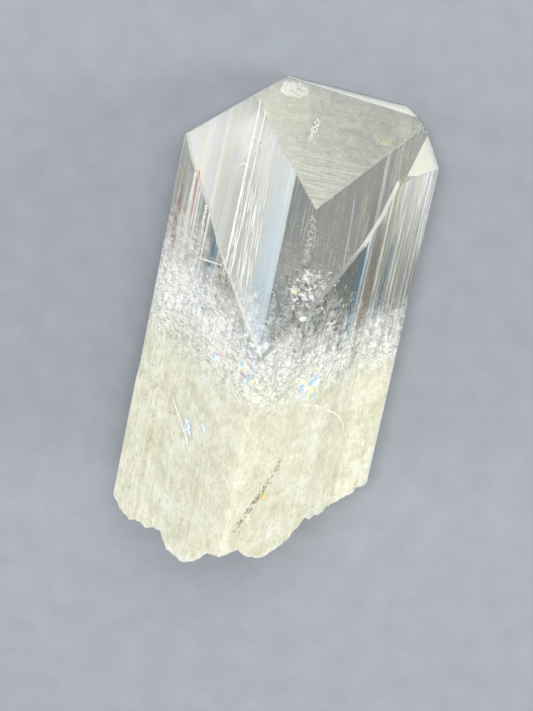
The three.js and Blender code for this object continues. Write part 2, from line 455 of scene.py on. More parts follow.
# A block that fills the section, the cells of a break, and its swells and hackles, in mm.
BLOCK = (11.0, 8.0)
BREAK_CELL = 0.07
FOOT_BREAK = {"Swell": 0.25, "Swell Size": 1.1, "Hackle": 0.4, "Hackle Size": 0.3}


def chamfer(piece, start, end, first, second, width):
    """Wears down the edge from start to end between two faces, and gives the worn plane."""
    normal = (first + second).normalized()
    depth = (width / 2) * math.tan(first.angle(second) / 2)
    along = (end - start).normalized()
    across = normal.cross(along)
    length = (end - start).length + CHAMFER_OVERRUN
    bm = bmesh.new()
    bmesh.ops.create_cube(bm, size=1.0)
    bmesh.ops.scale(bm, vec=(length, width + CHAMFER_OVERRUN, 1.0), verts=bm.verts)
    bmesh.ops.translate(bm, vec=(0, 0, 0.5 - depth), verts=bm.verts)
    axes = Matrix((along, across, normal)).transposed().to_4x4()
    bmesh.ops.transform(
        bm, matrix=Matrix.Translation((start + end) / 2) @ axes, verts=bm.verts)
    combine(piece, mesh_from(bm, "worn edge"), "DIFFERENCE")
    return normal, start - depth * normal


def terrace_tree():
    """Lowers a sheet in fine level terraces, strongest at its start, with a frosted grain."""
    tree, given = new_tree("Growth terraces", {
        "Pitch": "Float", "Relief": "Float", "Fade": "Float", "Grain": "Float",
        "Grain Relief": "Float", "Material": "Material",
    })
    position = add_node(tree, "GeometryNodeInputPosition")
    sides = add_node(tree, "ShaderNodeSeparateXYZ", {0: position})
    level = add_node(tree, "ShaderNodeMath", {
        0: sides.outputs["Y"], 1: given["Pitch"]}, operation="DIVIDE")
    across = add_node(tree, "ShaderNodeMath", {
        0: sides.outputs["X"], 1: TERRACE_BENDS}, operation="MULTIPLY")
    place = add_node(tree, "ShaderNodeCombineXYZ", {"X": across, "Y": level})
    waves = add_node(tree, "ShaderNodeTexNoise", {
        "Vector": place, "Scale": 1.0, "Detail": 2.0}, noise_dimensions="2D")
    steps = add_node(tree, "ShaderNodeMath", {0: waves, 1: TERRACE_LEVELS}, operation="SNAP")
    fade = add_node(tree, "ShaderNodeMapRange", {
        "Value": sides.outputs["Y"], "From Min": 0.0, "From Max": given["Fade"],
        "To Min": given["Relief"], "To Max": 0.0})
    step_depth = add_node(tree, "ShaderNodeMath", {0: steps, 1: fade}, operation="MULTIPLY")
    grains = add_node(tree, "ShaderNodeVectorMath", {
        0: position, 1: given["Grain"]}, operation="DIVIDE")
    grains = add_node(tree, "ShaderNodeTexNoise", {"Vector": grains, "Scale": 1.0, "Detail": 3.0})
    depth = add_node(tree, "ShaderNodeMath", {
        0: grains, 1: given["Grain Relief"], 2: step_depth}, operation="MULTIPLY_ADD")
    room = add_node(tree, "GeometryNodeInputNamedAttribute", {"Name": "room"})
    depth = add_node(tree, "ShaderNodeMath", {0: depth, 1: room}, operation="MINIMUM")
    down = add_node(tree, "ShaderNodeMath", {0: depth, 1: -1.0}, operation="MULTIPLY")
    offset = add_node(tree, "ShaderNodeCombineXYZ", {"Z": down})
    moved = add_node(tree, "GeometryNodeSetPosition", {
        "Geometry": given["Geometry"], "Offset": offset})
    end_tree(tree, moved, given["Material"])
    return tree


def terrace_tool(settings, material):
    """What grew no further above the top facet: a block whose lower face has its terraces."""
    left, right = TERRACED_SIDES
    wide, long = TERRACE_CELL
    bm = bmesh.new()
    bmesh.ops.create_grid(
        bm, x_segments=round((right - left) / wide),
        y_segments=round(TERRACED_LENGTH / long), size=0.5)
    axes = Matrix((Vector((1, 0, 0)), UPPER_FACET.cross(Vector((1, 0, 0))), UPPER_FACET))
    place = Matrix.Translation(APEX) @ axes.transposed().to_4x4()
    room = bm.verts.layers.float.new("room")
    for vert in bm.verts:
        vert.co.x = left + (vert.co.x + 0.5) * (right - left)
        vert.co.y = (vert.co.y + 0.5) * TERRACED_LENGTH
        x, y, z = place @ vert.co
        others = (height_on(facet, APEX, x, y) for facet in (LEFT_FACET, RIGHT_FACET))
        vert[room] = TERRACE_SHARE * max(0.0, min(others) - z)
    sheet = new_object("terraces", mesh_from(bm, "terraces"))
    run_tree(sheet, terrace_tree(), {
        "Pitch": TERRACE_PITCH, "Relief": settings.terrace_relief / MM, "Fade": TERRACE_FADE,
        "Grain": FROST_GRAIN, "Grain Relief": settings.frost_relief / MM,
        "Material": material})
    bm = bmesh.new()
    bm.from_mesh(sheet.data)
    close_at(bm, 1.0)
    bmesh.ops.transform(bm, matrix=place, verts=bm.verts)
    bpy.data.objects.remove(sheet)
    return mesh_from(bm, "terraces")


def plate_tool(x, y, width, height):
    """A growth plate: flush with the facet along its lower edge, proud along its upper one."""
    corner = min(width, height) * PLATE_ROUNDING
    outline = [(-width / 2, -height / 2), (width / 2, -height / 2)]
    for side in (1, -1):
        turns = [(math.pi / 2) * step / CORNER_STEPS for step in range(CORNER_STEPS + 1)]
        for turn in (turns if side > 0 else reversed(turns)):
            outline.append((side * (width / 2 - corner + corner * math.cos(turn)),
                            height / 2 - corner + corner * math.sin(turn)))
    bm = bmesh.new()
    base = bm.faces.new([bm.verts.new((px, py, -PLATE_DEPTH)) for px, py in outline])
    top = bmesh.ops.extrude_face_region(bm, geom=[base])
    for vert in (item for item in top["geom"] if isinstance(item, bmesh.types.BMVert)):
        up_plate = 0.5 + vert.co.y / height
        vert.co.z = PLATE_PROUD * ((1 + PLATE_SINK) * up_plate - PLATE_SINK)
    bmesh.ops.recalc_face_normals(bm, faces=bm.faces)
    normal, point = tip_at(x, y)
    bmesh.ops.transform(bm, matrix=aim(point, normal), verts=bm.verts)
    return mesh_from(bm, "growth plate")


def pit_tool(x, y, width):
    """A six-sided etch pit."""
    bm = bmesh.new()
    bmesh.ops.create_cone(
        bm, segments=6, radius1=0, radius2=width, depth=2 * PIT_DEPTH, cap_ends=True)
    normal, point = tip_at(x, y)
    bmesh.ops.transform(bm, matrix=aim(point, normal), verts=bm.verts)
    return mesh_from(bm, "pit")


def chip_tool():
    """A shell-shaped chip with the ripples of a conchoidal break."""
    bm = bmesh.new()
    bmesh.ops.create_uvsphere(bm, u_segments=48, v_segments=40, radius=1.0)
    for vert in bm.verts:
        away = math.hypot(vert.co.x - CHIP_STRUCK_AT[0], vert.co.y - CHIP_STRUCK_AT[1])
        ripple = 1 + CHIP_RIPPLE * math.sin(CHIP_RIPPLE_RATE * away)
        vert.co = Vector([c * r * ripple for c, r in zip(vert.co, CHIP_RADII)])
        vert.co.z += CHIP_LIFT
    normal, point = tip_at(*CHIP_AT)
    bmesh.ops.transform(bm, matrix=aim(point, normal), verts=bm.verts)
    return mesh_from(bm, "chip")


def foot_height(x, y):
    """The height of the fracture below a place in the section."""
    drop = 0.0
    for lobe_x, lobe_y, half_width, half_depth, lobe_drop in LOBES:
        away = ((x - lobe_x) / half_width) ** 2 + ((y - lobe_y) / half_depth) ** 2
        drop = max(drop, lobe_drop * (1 - away))
    first, second = (rate_x * x + rate_y * y for rate_x, rate_y in FOOT_RIPPLE_RATES)
    ripple = FOOT_RIPPLE * math.sin(first) * math.cos(second)
    return FOOT_LEVEL + FOOT_CLIMB_X * x + FOOT_CLIMB_Y * (y - BACK / 2) - drop + ripple


def hackle_tree():
    """Gives a sheet the swells and small hackles of a break."""
    tree, given = new_tree("Hackly break", {
        "Swell": "Float", "Swell Size": "Float", "Hackle": "Float", "Hackle Size": "Float",
        "Material": "Material",
    })
    position = add_node(tree, "GeometryNodeInputPosition")
    rise = 0.0
    for size, reach, detail in (("Swell Size", "Swell", 1.0), ("Hackle Size", "Hackle", 6.0)):
        place = add_node(tree, "ShaderNodeVectorMath", {
            0: position, 1: given[size]}, operation="DIVIDE")
        waves = add_node(tree, "ShaderNodeTexNoise", {
            "Vector": place, "Scale": 1.0, "Detail": detail})
        waves = add_node(tree, "ShaderNodeMath", {0: waves, 1: -0.5}, operation="ADD")
        rise = add_node(tree, "ShaderNodeMath", {
            0: waves, 1: given[reach], 2: rise}, operation="MULTIPLY_ADD")
    offset = add_node(tree, "ShaderNodeCombineXYZ", {"Z": rise})
    moved = add_node(tree, "GeometryNodeSetPosition", {
        "Geometry": given["Geometry"], "Offset": offset})
    end_tree(tree, moved, given["Material"])
    return tree


def broken_block(height, look, material):
    """A block that fills the crystal's section up to a break at this height above each place."""
    wide, deep = BLOCK
    bm = bmesh.new()
    bmesh.ops.create_grid(
        bm, x_segments=round(wide / BREAK_CELL), y_segments=round(deep / BREAK_CELL), size=0.5)
    for vert in bm.verts:
        x, y = vert.co.x * wide, vert.co.y * deep + BACK / 2
        vert.co = Vector((x, y, height(x, y)))
    sheet = new_object("break", mesh_from(bm, "break"))
    run_tree(sheet, hackle_tree(), {**look, "Material": material})
    bm = bmesh.new()
    bm.from_mesh(sheet.data)
    bpy.data.objects.remove(sheet)
    close_at(bm, PRISM_BOTTOM - 1)
    return mesh_from(bm, "block")


# ---- The skin -------------------------------------------------------------------------------

FACE_LOOKS = ("frost", "veiled", "striped", "worn")
VEILED_LEFT_OF = -0.15
SIDES_BEYOND = (-2.2, 2.6)
# How hazy a face is, and how strong the lines of haze are that the striations draw on it.
BACK_LEFT_VEIL = (0.5, 0.4)
BACK_VEIL = (0.02, 0.34)
PANE_VEIL = (0.36, 0.1)
SIDE_VEIL = (0.1, 0.55)
NO_VEIL = (0.0, 0.0)
# How worn the edges and breaks are, 1 being wholly rough and white.
EDGE_WEAR = 0.22
LEFT_WEAR = 0.6
BEVEL_WEAR = 1.0
BREAK_WEAR = 0.85
STEP_WEAR = 0.8
CORNER_WEAR = 0.74
# How faces are told apart: their slants, their directions and their places.
FRONT_BEFORE = 4.8
SAME_PLANE = math.radians(1)
ON_PLANE = 0.006
ON_PANE = math.radians(2)
FROSTED_WITHIN = math.radians(35)
FROST_DEPTH = 0.15
FACES_BACK = 0.7
UPRIGHT = 0.1
FACES_DOWN = -0.25
BREAK_DEPTH = 1.5
STEP_SLANT = math.radians(40)
PIT_SLANT = math.radians(8)
PITS_ABOVE = 4
CHIP_SLANT = math.radians(3)
CHIP_ABOVE = 6
SHARP_EDGE = math.radians(12)


def wear_tip(piece):
    """Wears the edges between the tip and the prism's walls, and gives each plane and its wear."""
    planes = []
    for index, corner in enumerate(CORNERS):
        following = CORNERS[(index + 1) % len(CORNERS)]
        if BACK_RIGHT in (corner, following):
            continue
        middle = [(a + b) / 2 for a, b in zip(corner, following)]
        facet, _ = tip_at(*middle)
        start, end = (Vector((*c, height_on(facet, APEX, *c))) for c in (corner, following))
        wall = Vector((following[1] - corner[1], corner[0] - following[0], 0)).normalized()
        width, wear = SIDE_CHAMFER, BEVEL_WEAR
        if middle[1] < FRONT_BEFORE:
            on_right = middle[0] > 0
            width, wear = (FRONT_CHAMFER, EDGE_WEAR) if on_right else (SIDE_CHAMFER, LEFT_WEAR)
        planes.append((*chamfer(piece, start, end, facet, wall, width), wear))
    for facet in (LEFT_FACET, RIGHT_FACET):
        along = facet.cross(UPPER_FACET)
        end = APEX + along * (BACK - APEX.y) / along.y
        planes.append((*chamfer(piece, APEX, end, facet, UPPER_FACET, FACET_CHAMFER), EDGE_WEAR))
    return planes


def frost_of(normal, centre):
    """How frosted a face of the skin is: all of the top facet is."""
    facet, point = tip_at(centre.x, centre.y)
    on_facet = facet is UPPER_FACET and abs(centre.z - point.z) < FROST_DEPTH
    return float(on_facet and normal.angle(UPPER_FACET) < FROSTED_WITHIN)


def veil_of(normal, centre):
    """How hazy and how striped a face of the skin is: a pane at the left is the haziest."""
    in_pane = centre.x < VEILED_LEFT_OF
    if normal.y > FACES_BACK:
        return BACK_LEFT_VEIL if in_pane else BACK_VEIL
    if in_pane and normal.angle(LEFT_FACET) < ON_PANE:
        return PANE_VEIL
    on_side = abs(normal.z) < UPRIGHT and not SIDES_BEYOND[0] < centre.x < SIDES_BEYOND[1]
    return SIDE_VEIL if on_side else NO_VEIL


def part_faces(piece, x):
    """Puts an edge all round the piece at this x, without changing its form."""
    bm = bmesh.new()
    bm.from_mesh(piece.data)
    everything = [*bm.verts, *bm.edges, *bm.faces]
    bmesh.ops.bisect_plane(bm, geom=everything, plane_co=(x, 0, 0), plane_no=(1, 0, 0))
    bm.to_mesh(piece.data)
    bm.free()


def wear_of(normal, centre, planes):
    """How worn or broken a face of the skin is."""
    for plane, point, wear in planes:
        if normal.angle(plane) < SAME_PLANE and abs((centre - point).dot(plane)) < ON_PLANE:
            return wear
    if normal.z < FACES_DOWN and centre.z < FOOT_LEVEL + BREAK_DEPTH:
        return BREAK_WEAR
    from_facet = abs(centre.z - tip_at(centre.x, centre.y)[1].z)
    slant = normal.angle(UPPER_FACET)
    if from_facet < 2 * PLATE_PROUD and centre.z > APEX.z and slant > STEP_SLANT:
        return STEP_WEAR
    for x, y, width in PITS:
        in_pit = math.hypot(centre.x - x, centre.y - y) < width
        if in_pit and centre.z > PITS_ABOVE and normal.angle(tip_at(x, y)[0]) > PIT_SLANT:
            return BREAK_WEAR
    from_chip = math.hypot(centre.x - CHIP_AT[0], centre.y - CHIP_AT[1])
    if from_chip < CHIP_RADII[0] and centre.z > CHIP_ABOVE and slant > CHIP_SLANT:
        return BREAK_WEAR
    return 0.0


def in_order(mesh):
    """The same form with its points and faces listed in order of place, and nothing else on it.

    The cuts list them in another order each time, and a flake that lies as near to one face as
    to the next would then be kept in one run and left out in another.
    """
    order = sorted(range(len(mesh.vertices)), key=lambda at: tuple(mesh.vertices[at].co))
    rank = {at: new for new, at in enumerate(order)}
    faces = [[rank[at] for at in polygon.vertices] for polygon in mesh.polygons]
    ordered = bpy.data.meshes.new(mesh.name)
    ordered.from_pydata([mesh.vertices[at].co for at in order], [], sorted(faces, key=sorted))
    return ordered


def build_skin(settings):
    material = danburite_material(settings)
    piece = new_object("skin", prism_mesh())
    run_tree(piece, striation_tree(), {
        "Pitch": settings.striation_pitch / MM, "Relief": settings.striation_relief / MM,
        "Terraces": STRIATION_LEVELS, "Length": STRIATION_LENGTH, "Etch Grain": ETCH_GRAIN,
        "Etch Relief": settings.etch_relief / MM, "Etched Below": ETCHED_BELOW,
        "Material": material,
    })
    prism = piece.data.copy()
    for facet in (LEFT_FACET, RIGHT_FACET, UPPER_FACET):
        trim(piece, APEX, facet)
    combine(piece, terrace_tool(settings, material), "DIFFERENCE")
    for plate in PLATES:
        raised = new_object("plate", plate_tool(*plate))
        combine(raised, prism.copy(), "INTERSECT")
        combine(piece, raised.data, "UNION")
        bpy.data.objects.remove(raised)
    for pit in PITS:
        combine(piece, pit_tool(*pit), "DIFFERENCE")
    trim(piece, BEVEL_RIGHT, BEVEL_FACET)
    trim(piece, CORNER_POINT, CORNER_NORMAL)
    planes = [
        (BEVEL_FACET, BEVEL_RIGHT, BEVEL_WEAR),
        (CORNER_NORMAL.normalized(), CORNER_POINT, CORNER_WEAR),
        *wear_tip(piece),
    ]
    combine(piece, chip_tool(), "DIFFERENCE")
    combine(piece, broken_block(foot_height, FOOT_BREAK, material), "DIFFERENCE")
    part_faces(piece, VEILED_LEFT_OF)
    piece.data = mesh = in_order(piece.data)
    mesh.materials.append(material)
    looks = []
    for face in mesh.polygons:
        normal, centre = face.normal, face.center
        looks.append((
            frost_of(normal, centre), *veil_of(normal, centre), wear_of(normal, centre, planes)))
    for name, amounts in zip(FACE_LOOKS, zip(*looks)):
        mesh.attributes.new(name, "FLOAT", "FACE").data.foreach_set("value", amounts)
    for polygon in mesh.polygons:
        polygon.use_smooth = True
    mesh.set_sharp_from_angle(angle=SHARP_EDGE)
    finish_piece(piece, "crystal_skin")
    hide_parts(NODE)


# ---- Fractures inside the crystal -----------------------------------------------------------

FLAKE_SIDES = 7
# A flake stays inside the skin by its own radius and a little more.
FLAKE_ROOM = 1.1
FLAKE_CLEARANCE = 0.04
CRUMPLES_PER_MM = 7.0
FIRST_CRACK_SEED = 0
FIRST_FLASH_SEED = 200


def flake_tree():
    """Scatters thin crumpled flakes through a region inside the crystal's skin."""
    tree, given = new_tree("Inner fractures", {
        "Count": "Int", "Centre": "Vector", "Radii": "Vector", "Smallest": "Float",
        "Largest": "Float", "Slimness": "Float", "Scatter": "Float", "Crumple": "Float",
        "Fineness": "Int", "Seed": "Int", "Skin": "Object", "Material": "Material",
    })
    seeds = [add_node(tree, "ShaderNodeMath", {0: given["Seed"], 1: float(step)}, operation="ADD")
             for step in range(5)]
    random_value = "FunctionNodeRandomValue"
    corners = {0: (-0.5, -0.5, -0.5), 1: (0.5, 0.5, 0.5)}
    first = add_node(tree, random_value, {**corners, "Seed": seeds[0]}, data_type="FLOAT_VECTOR")
    second = add_node(tree, random_value, {**corners, "Seed": seeds[1]}, data_type="FLOAT_VECTOR")
    spread = add_node(tree, "ShaderNodeVectorMath", {0: first, 1: second}, operation="ADD")
    place = add_node(tree, "ShaderNodeVectorMath", {
        0: spread, 1: given["Radii"], 2: given["Centre"]}, operation="MULTIPLY_ADD")
    wide = add_node(tree, random_value, {
        2: given["Smallest"], 3: given["Largest"], "Seed": seeds[2]}).outputs[1]
    points = add_node(tree, "GeometryNodePoints", {
        "Count": given["Count"], "Position": place, "Radius": wide})
    skin = add_node(tree, "GeometryNodeObjectInfo", {"Object": given["Skin"]}).outputs["Geometry"]
    nearest = add_node(tree, "GeometryNodeProximity", {0: skin}, target_element="FACES")
    here = add_node(tree, "GeometryNodeInputPosition")
    from_skin = add_node(tree, "ShaderNodeVectorMath", {
        0: here, 1: nearest.outputs["Position"]}, operation="SUBTRACT")
    rises = []
    for domain in ("FACE", "POINT"):
        facing = add_node(tree, "GeometryNodeFieldOnDomain", {
            "Value": add_node(tree, "GeometryNodeInputNormal")},
            data_type="FLOAT_VECTOR", domain=domain)
        outward = add_node(tree, "GeometryNodeSampleNearestSurface", {
            "Mesh": skin, "Value": facing}, data_type="FLOAT_VECTOR").outputs["Value"]
        rises.append(add_node(tree, "ShaderNodeVectorMath", {
            0: from_skin, 1: outward}, operation="DOT_PRODUCT").outputs["Value"])
    rise = add_node(tree, "ShaderNodeMath", {0: rises[0], 1: rises[1]}, operation="MAXIMUM")
    radius = add_node(tree, "GeometryNodeInputRadius")
    room = add_node(tree, "ShaderNodeMath", {
        0: radius, 1: -FLAKE_ROOM, 2: -FLAKE_CLEARANCE}, operation="MULTIPLY_ADD")
    stray = add_node(tree, "FunctionNodeCompare", {0: rise, 1: room}, operation="GREATER_THAN")
    kept = add_node(tree, "GeometryNodeDeleteGeometry", {
        "Geometry": points, "Selection": stray}, domain="POINT")
    chance = add_node(tree, random_value, {2: 0.0, 3: 1.0, "Seed": seeds[4]}).outputs[1]
    kept = add_node(tree, "GeometryNodeStoreNamedAttribute", {
        "Geometry": kept, "Name": "chance", "Value": chance}, data_type="FLOAT", domain="POINT")
    flake = add_node(tree, "GeometryNodeMeshCircle", {
        "Vertices": FLAKE_SIDES}, fill_type="TRIANGLE_FAN")
    flake = add_node(tree, "GeometryNodeSubdivideMesh", {"Mesh": flake, "Level": given["Fineness"]})
    slim = add_node(tree, "ShaderNodeMath", {0: radius, 1: given["Slimness"]}, operation="MULTIPLY")
    size = add_node(tree, "ShaderNodeCombineXYZ", {"X": radius, "Y": slim, "Z": 1.0})
    turn = add_node(tree, random_value, {
        0: (-1, -1, -3), 1: (1, 1, 3), "Seed": seeds[3]}, data_type="FLOAT_VECTOR")
    turn = add_node(tree, "ShaderNodeVectorMath", {
        0: turn, "Scale": given["Scatter"]}, operation="SCALE")
    flakes = add_node(tree, "GeometryNodeInstanceOnPoints", {
        "Points": kept, "Instance": flake, "Rotation": turn, "Scale": size})
    real = add_node(tree, "GeometryNodeRealizeInstances", {"Geometry": flakes})
    waves = add_node(tree, "ShaderNodeTexNoise", {"Scale": CRUMPLES_PER_MM, "Detail": 2.0})
    waves = add_node(tree, "ShaderNodeVectorMath", {
        0: waves.outputs["Color"], 1: (-0.5, -0.5, -0.5)}, operation="ADD")
    crumple = add_node(tree, "ShaderNodeVectorMath", {
        0: waves, "Scale": given["Crumple"]}, operation="SCALE")
    crumpled = add_node(tree, "GeometryNodeSetPosition", {"Geometry": real, "Offset": crumple})
    end_tree(tree, crumpled, given["Material"])
    return tree


# Each region's flakes: how many, where, how large, and how far they turn from level.
FLAKES = dict(Scatter=3.0, Fineness=1)
FRACTURES = {
    "tip crackle": dict(
        FLAKES, Count=420, Centre=(1.05, 2.4, 1.35), Radii=(0.9, 0.7, 1.0),
        Smallest=0.08, Largest=0.3, Slimness=0.13, Fineness=2),
    "side crackle": dict(
        FLAKES, Count=260, Centre=(2.15, 3.1, 0.35), Radii=(0.6, 0.5, 0.5),
        Smallest=0.06, Largest=0.26, Slimness=0.2, Fineness=2),
    "left edge crack": dict(
        FLAKES, Count=420, Centre=(-3.22, 3.62, 0.7), Radii=(0.12, 0.1, 2.6),
        Smallest=0.03, Largest=0.12, Slimness=0.3),
    "right edge crack": dict(
        FLAKES, Count=360, Centre=(2.98, 3.66, -0.9), Radii=(0.12, 0.12, 2.1),
        Smallest=0.03, Largest=0.12, Slimness=0.3),
    "level veils": dict(
        FLAKES, Count=700, Centre=(0.0, 2.6, -1.5), Radii=(4.2, 2.6, 1.5),
        Smallest=0.08, Largest=0.35, Slimness=0.4, Scatter=0.22),
    "torn veils": dict(
        FLAKES, Count=1300, Centre=(0.0, 3.0, -1.7), Radii=(4.2, 3.0, 1.8),
        Smallest=0.04, Largest=0.22, Slimness=0.4),
    "white clots": dict(
        FLAKES, Count=260, Centre=(-1.36, 2.3, -1.1), Radii=(0.35, 0.3, 0.4),
        Smallest=0.08, Largest=0.2, Slimness=0.8),
    "milky cloud": dict(
        FLAKES, Count=4500, Centre=(0.0, 3.2, -5.4), Radii=(4.8, 3.6, 4.2),
        Smallest=0.05, Largest=0.3, Slimness=0.6, Fineness=0),
    "top feather": dict(
        FLAKES, Count=50, Centre=(0.15, 5.12, 6.4), Radii=(0.14, 0.1, 0.3),
        Smallest=0.03, Largest=0.1, Slimness=0.4),
}
FLASHES = {
    "tip flashes": dict(
        FLAKES, Count=26, Centre=(1.05, 2.5, 1.9), Radii=(0.3, 0.3, 0.4),
        Smallest=0.05, Largest=0.1, Slimness=0.8),
    "left flashes": dict(
        FLAKES, Count=12, Centre=(-1.4, 2.2, 0.4), Radii=(0.2, 0.1, 0.15),
        Smallest=0.04, Largest=0.08, Slimness=0.8),
}


def standing_skin():
    """A copy of the crystal's skin, standing up, to keep other pieces inside it."""
    skin = new_object("standing skin", bpy.data.objects["crystal_skin"].data.copy())
    skin.data.transform(PART_FROM_CRYSTAL.inverted())
    return skin


def build_flakes(groups, material, settings, first_seed):
    skin, tree = standing_skin(), flake_tree()
    for step, (name, values) in enumerate(groups.items()):
        piece = new_object(name, bpy.data.meshes.new(name))
        run_tree(piece, tree, {
            **values, "Count": round(values["Count"] * settings.amount),
            "Crumple": settings.crumple / MM, "Seed": first_seed + 10 * step, "Skin": skin,
            "Material": material})
        finish_piece(piece, name.replace(" ", "_"))
    bpy.data.objects.remove(skin)


# The milky heart: its size across the crystal, its top, how far it ends above the foot, and the
# swells and hackles of its torn top.
CORE_SCALE = 0.87
CORE_TOP = -1.5
CORE_ABOVE_FOOT = 0.6
CORE_BREAK = {"Swell": 1.8, "Swell Size": 1.9, "Hackle": 1.6, "Hackle Size": 0.8}


def build_core(material):
    """The milky heart of the crystal, a little inside its skin, with a torn top."""
    core = standing_skin()
    middle = Matrix.Translation((0, BACK / 2, 0))
    narrower = Matrix.Diagonal((CORE_SCALE, CORE_SCALE, 1, 1))
    core.data.transform(middle @ narrower @ middle.inverted())
    below_top = broken_block(lambda x, y: CORE_TOP, CORE_BREAK, material)
    combine(core, below_top, "INTERSECT")
    foot = broken_block(lambda x, y: foot_height(x, y) + CORE_ABOVE_FOOT, FOOT_BREAK, material)
    combine(core, foot, "DIFFERENCE")
    for name in FACE_LOOKS:
        core.data.attributes.remove(core.data.attributes[name])
    core.data.materials.clear()
    core.data.materials.append(material)
    finish_piece(core, "milky_heart")


# ---- Inclusions that lie along a line -------------------------------------------------------


def trail_tree():
    """Strings small grains or needles along a bent line, free or clinging to the skin."""
    tree, given = new_tree("Inclusion trail", {
        "Start": "Vector", "Bend": "Vector", "End": "Vector", "Count": "Int",
        "Spread": "Vector", "Smallest": "Float", "Largest": "Float", "Slimness": "Float",
        "Cling": "Float", "Seed": "Int", "Skin": "Object", "Material": "Material",
    })
    line = add_node(tree, "GeometryNodeCurveQuadraticBezier", {
        "Resolution": 32, "Start": given["Start"], "Middle": given["Bend"], "End": given["End"]})
    strung = add_node(tree, "GeometryNodeCurveToPoints", {
        "Curve": line, "Count": given["Count"]}, mode="COUNT")
    seeds = [add_node(tree, "ShaderNodeMath", {0: given["Seed"], 1: float(step)}, operation="ADD")
             for step in range(2)]
    astray = add_node(tree, "FunctionNodeRandomValue", {
        0: (-1, -1, -1), 1: (1, 1, 1), "Seed": seeds[0]}, data_type="FLOAT_VECTOR")
    astray = add_node(tree, "ShaderNodeVectorMath", {
        0: astray, 1: given["Spread"]}, operation="MULTIPLY")
    loose = add_node(tree, "GeometryNodeSetPosition", {"Geometry": strung, "Offset": astray})
    skin = add_node(tree, "GeometryNodeObjectInfo", {"Object": given["Skin"]}).outputs["Geometry"]
    nearest = add_node(tree, "GeometryNodeProximity", {0: skin}, target_element="FACES")
    place = add_node(tree, "ShaderNodeMix", {
        0: given["Cling"], 4: add_node(tree, "GeometryNodeInputPosition"),
        5: nearest.outputs["Position"]}, data_type="VECTOR").outputs[1]
    settled = add_node(tree, "GeometryNodeSetPosition", {"Geometry": loose, "Position": place})
    long = add_node(tree, "FunctionNodeRandomValue", {
        2: given["Smallest"], 3: given["Largest"], "Seed": seeds[1]}).outputs[1]
    slim = add_node(tree, "ShaderNodeMath", {0: long, 1: given["Slimness"]}, operation="MULTIPLY")
    size = add_node(tree, "ShaderNodeCombineXYZ", {"X": slim, "Y": slim, "Z": long})
    grain = add_node(tree, "GeometryNodeMeshIcoSphere", {"Radius": 1.0, "Subdivisions": 2})
    grains = add_node(tree, "GeometryNodeInstanceOnPoints", {
        "Points": settled, "Instance": grain, "Rotation": strung.outputs["Rotation"],
        "Scale": size})
    end_tree(tree, grains, given["Material"])
    return tree


# Each trail's line and grains. The needles lie along the crystal; the stains are on its skin.
NEEDLE = dict(Smallest=0.15, Largest=0.6, Slimness=0.022)
WHITE_LINES = {
    "white line on the pane": dict(
        NEEDLE, Start=(-1.9, 5.2, 6.7), Bend=(-1.9, 3.6, 4.6), End=(-1.9, 2.0, 2.5), Count=120,
        Spread=(0.03, 0.0, 0.0), Cling=1.0),
    "white line beside it": dict(
        NEEDLE, Start=(-1.66, 5.05, 6.5), Bend=(-1.66, 3.4, 4.3), End=(-1.66, 1.8, 2.2), Count=70,
        Spread=(0.015, 0.0, 0.0), Cling=1.0),
    "faint lines on the pane": dict(
        NEEDLE, Start=(-1.5, 3.6, 4.6), Bend=(-1.4, 2.5, 3.2), End=(-1.3, 1.5, 1.9), Count=90,
        Spread=(0.45, 0.0, 0.0), Cling=1.0),
    "faint lines in the middle": dict(
        NEEDLE, Start=(1.0, 5.7, 4.6), Bend=(1.0, 5.7, 3.0), End=(1.0, 5.7, 1.0), Count=60,
        Spread=(1.6, 0.2, 0.3), Cling=0.0),
    "cream line at the right": dict(
        NEEDLE, Start=(2.86, 5.9, 6.3), Bend=(2.86, 5.9, 4.8), End=(2.86, 5.9, 2.9), Count=80,
        Spread=(0.06, 0.02, 0.0), Cling=0.0),
}
RED_LINES = {
    "red line": dict(
        NEEDLE, Start=(-3.44, 3.66, 4.3), Bend=(-3.43, 3.65, 3.8), End=(-3.42, 3.64, 3.2), Count=40,
        Spread=(0.025, 0.02, 0.0), Cling=0.0),
    "rusty streak": dict(
        NEEDLE, Start=(-4.0, 4.35, 4.5), Bend=(-4.0, 4.35, 3.6), End=(-4.02, 4.38, 2.2), Count=12,
        Spread=(0.05, 0.05, 0.0), Cling=0.0),
}
BLUE_LINES = {
    "blue line": dict(
        NEEDLE, Start=(2.0, 5.95, 3.1), Bend=(2.02, 5.95, 1.7), End=(2.05, 5.95, 0.2), Count=60,
        Spread=(0.03, 0.02, 0.0), Cling=0.0),
    "blue spot": dict(
        Start=(-2.06, 2.06, -4.2), Bend=(-2.0, 2.0, -4.4), End=(-1.94, 1.92, -4.6), Count=16,
        Spread=(0.09, 0.09, 0.05), Smallest=0.04, Largest=0.11, Slimness=0.8, Cling=0.985),
    "second blue spot": dict(
        Start=(-1.56, 1.5, -3.95), Bend=(-1.5, 1.5, -4.0), End=(-1.42, 1.4, -4.05), Count=10,
        Spread=(0.06, 0.06, 0.05), Smallest=0.04, Largest=0.09, Slimness=0.8, Cling=0.985),
}
BUBBLES = {
    "bubble trail": dict(
        Start=(0.75, 3.23, 4.05), Bend=(0.78, 2.88, 3.6), End=(0.79, 2.43, 2.7), Count=80,
        Spread=(0.09, 0.05, 0.09), Smallest=0.012, Largest=0.05, Slimness=1.0, Cling=0.0),
    "stray bubbles": dict(
        Start=(0.2, 3.2, 3.2), Bend=(1.2, 3.2, 2.9), End=(2.6, 3.8, 2.6), Count=26,
        Spread=(0.3, 0.3, 0.6), Smallest=0.01, Largest=0.03, Slimness=1.0, Cling=0.0),
}
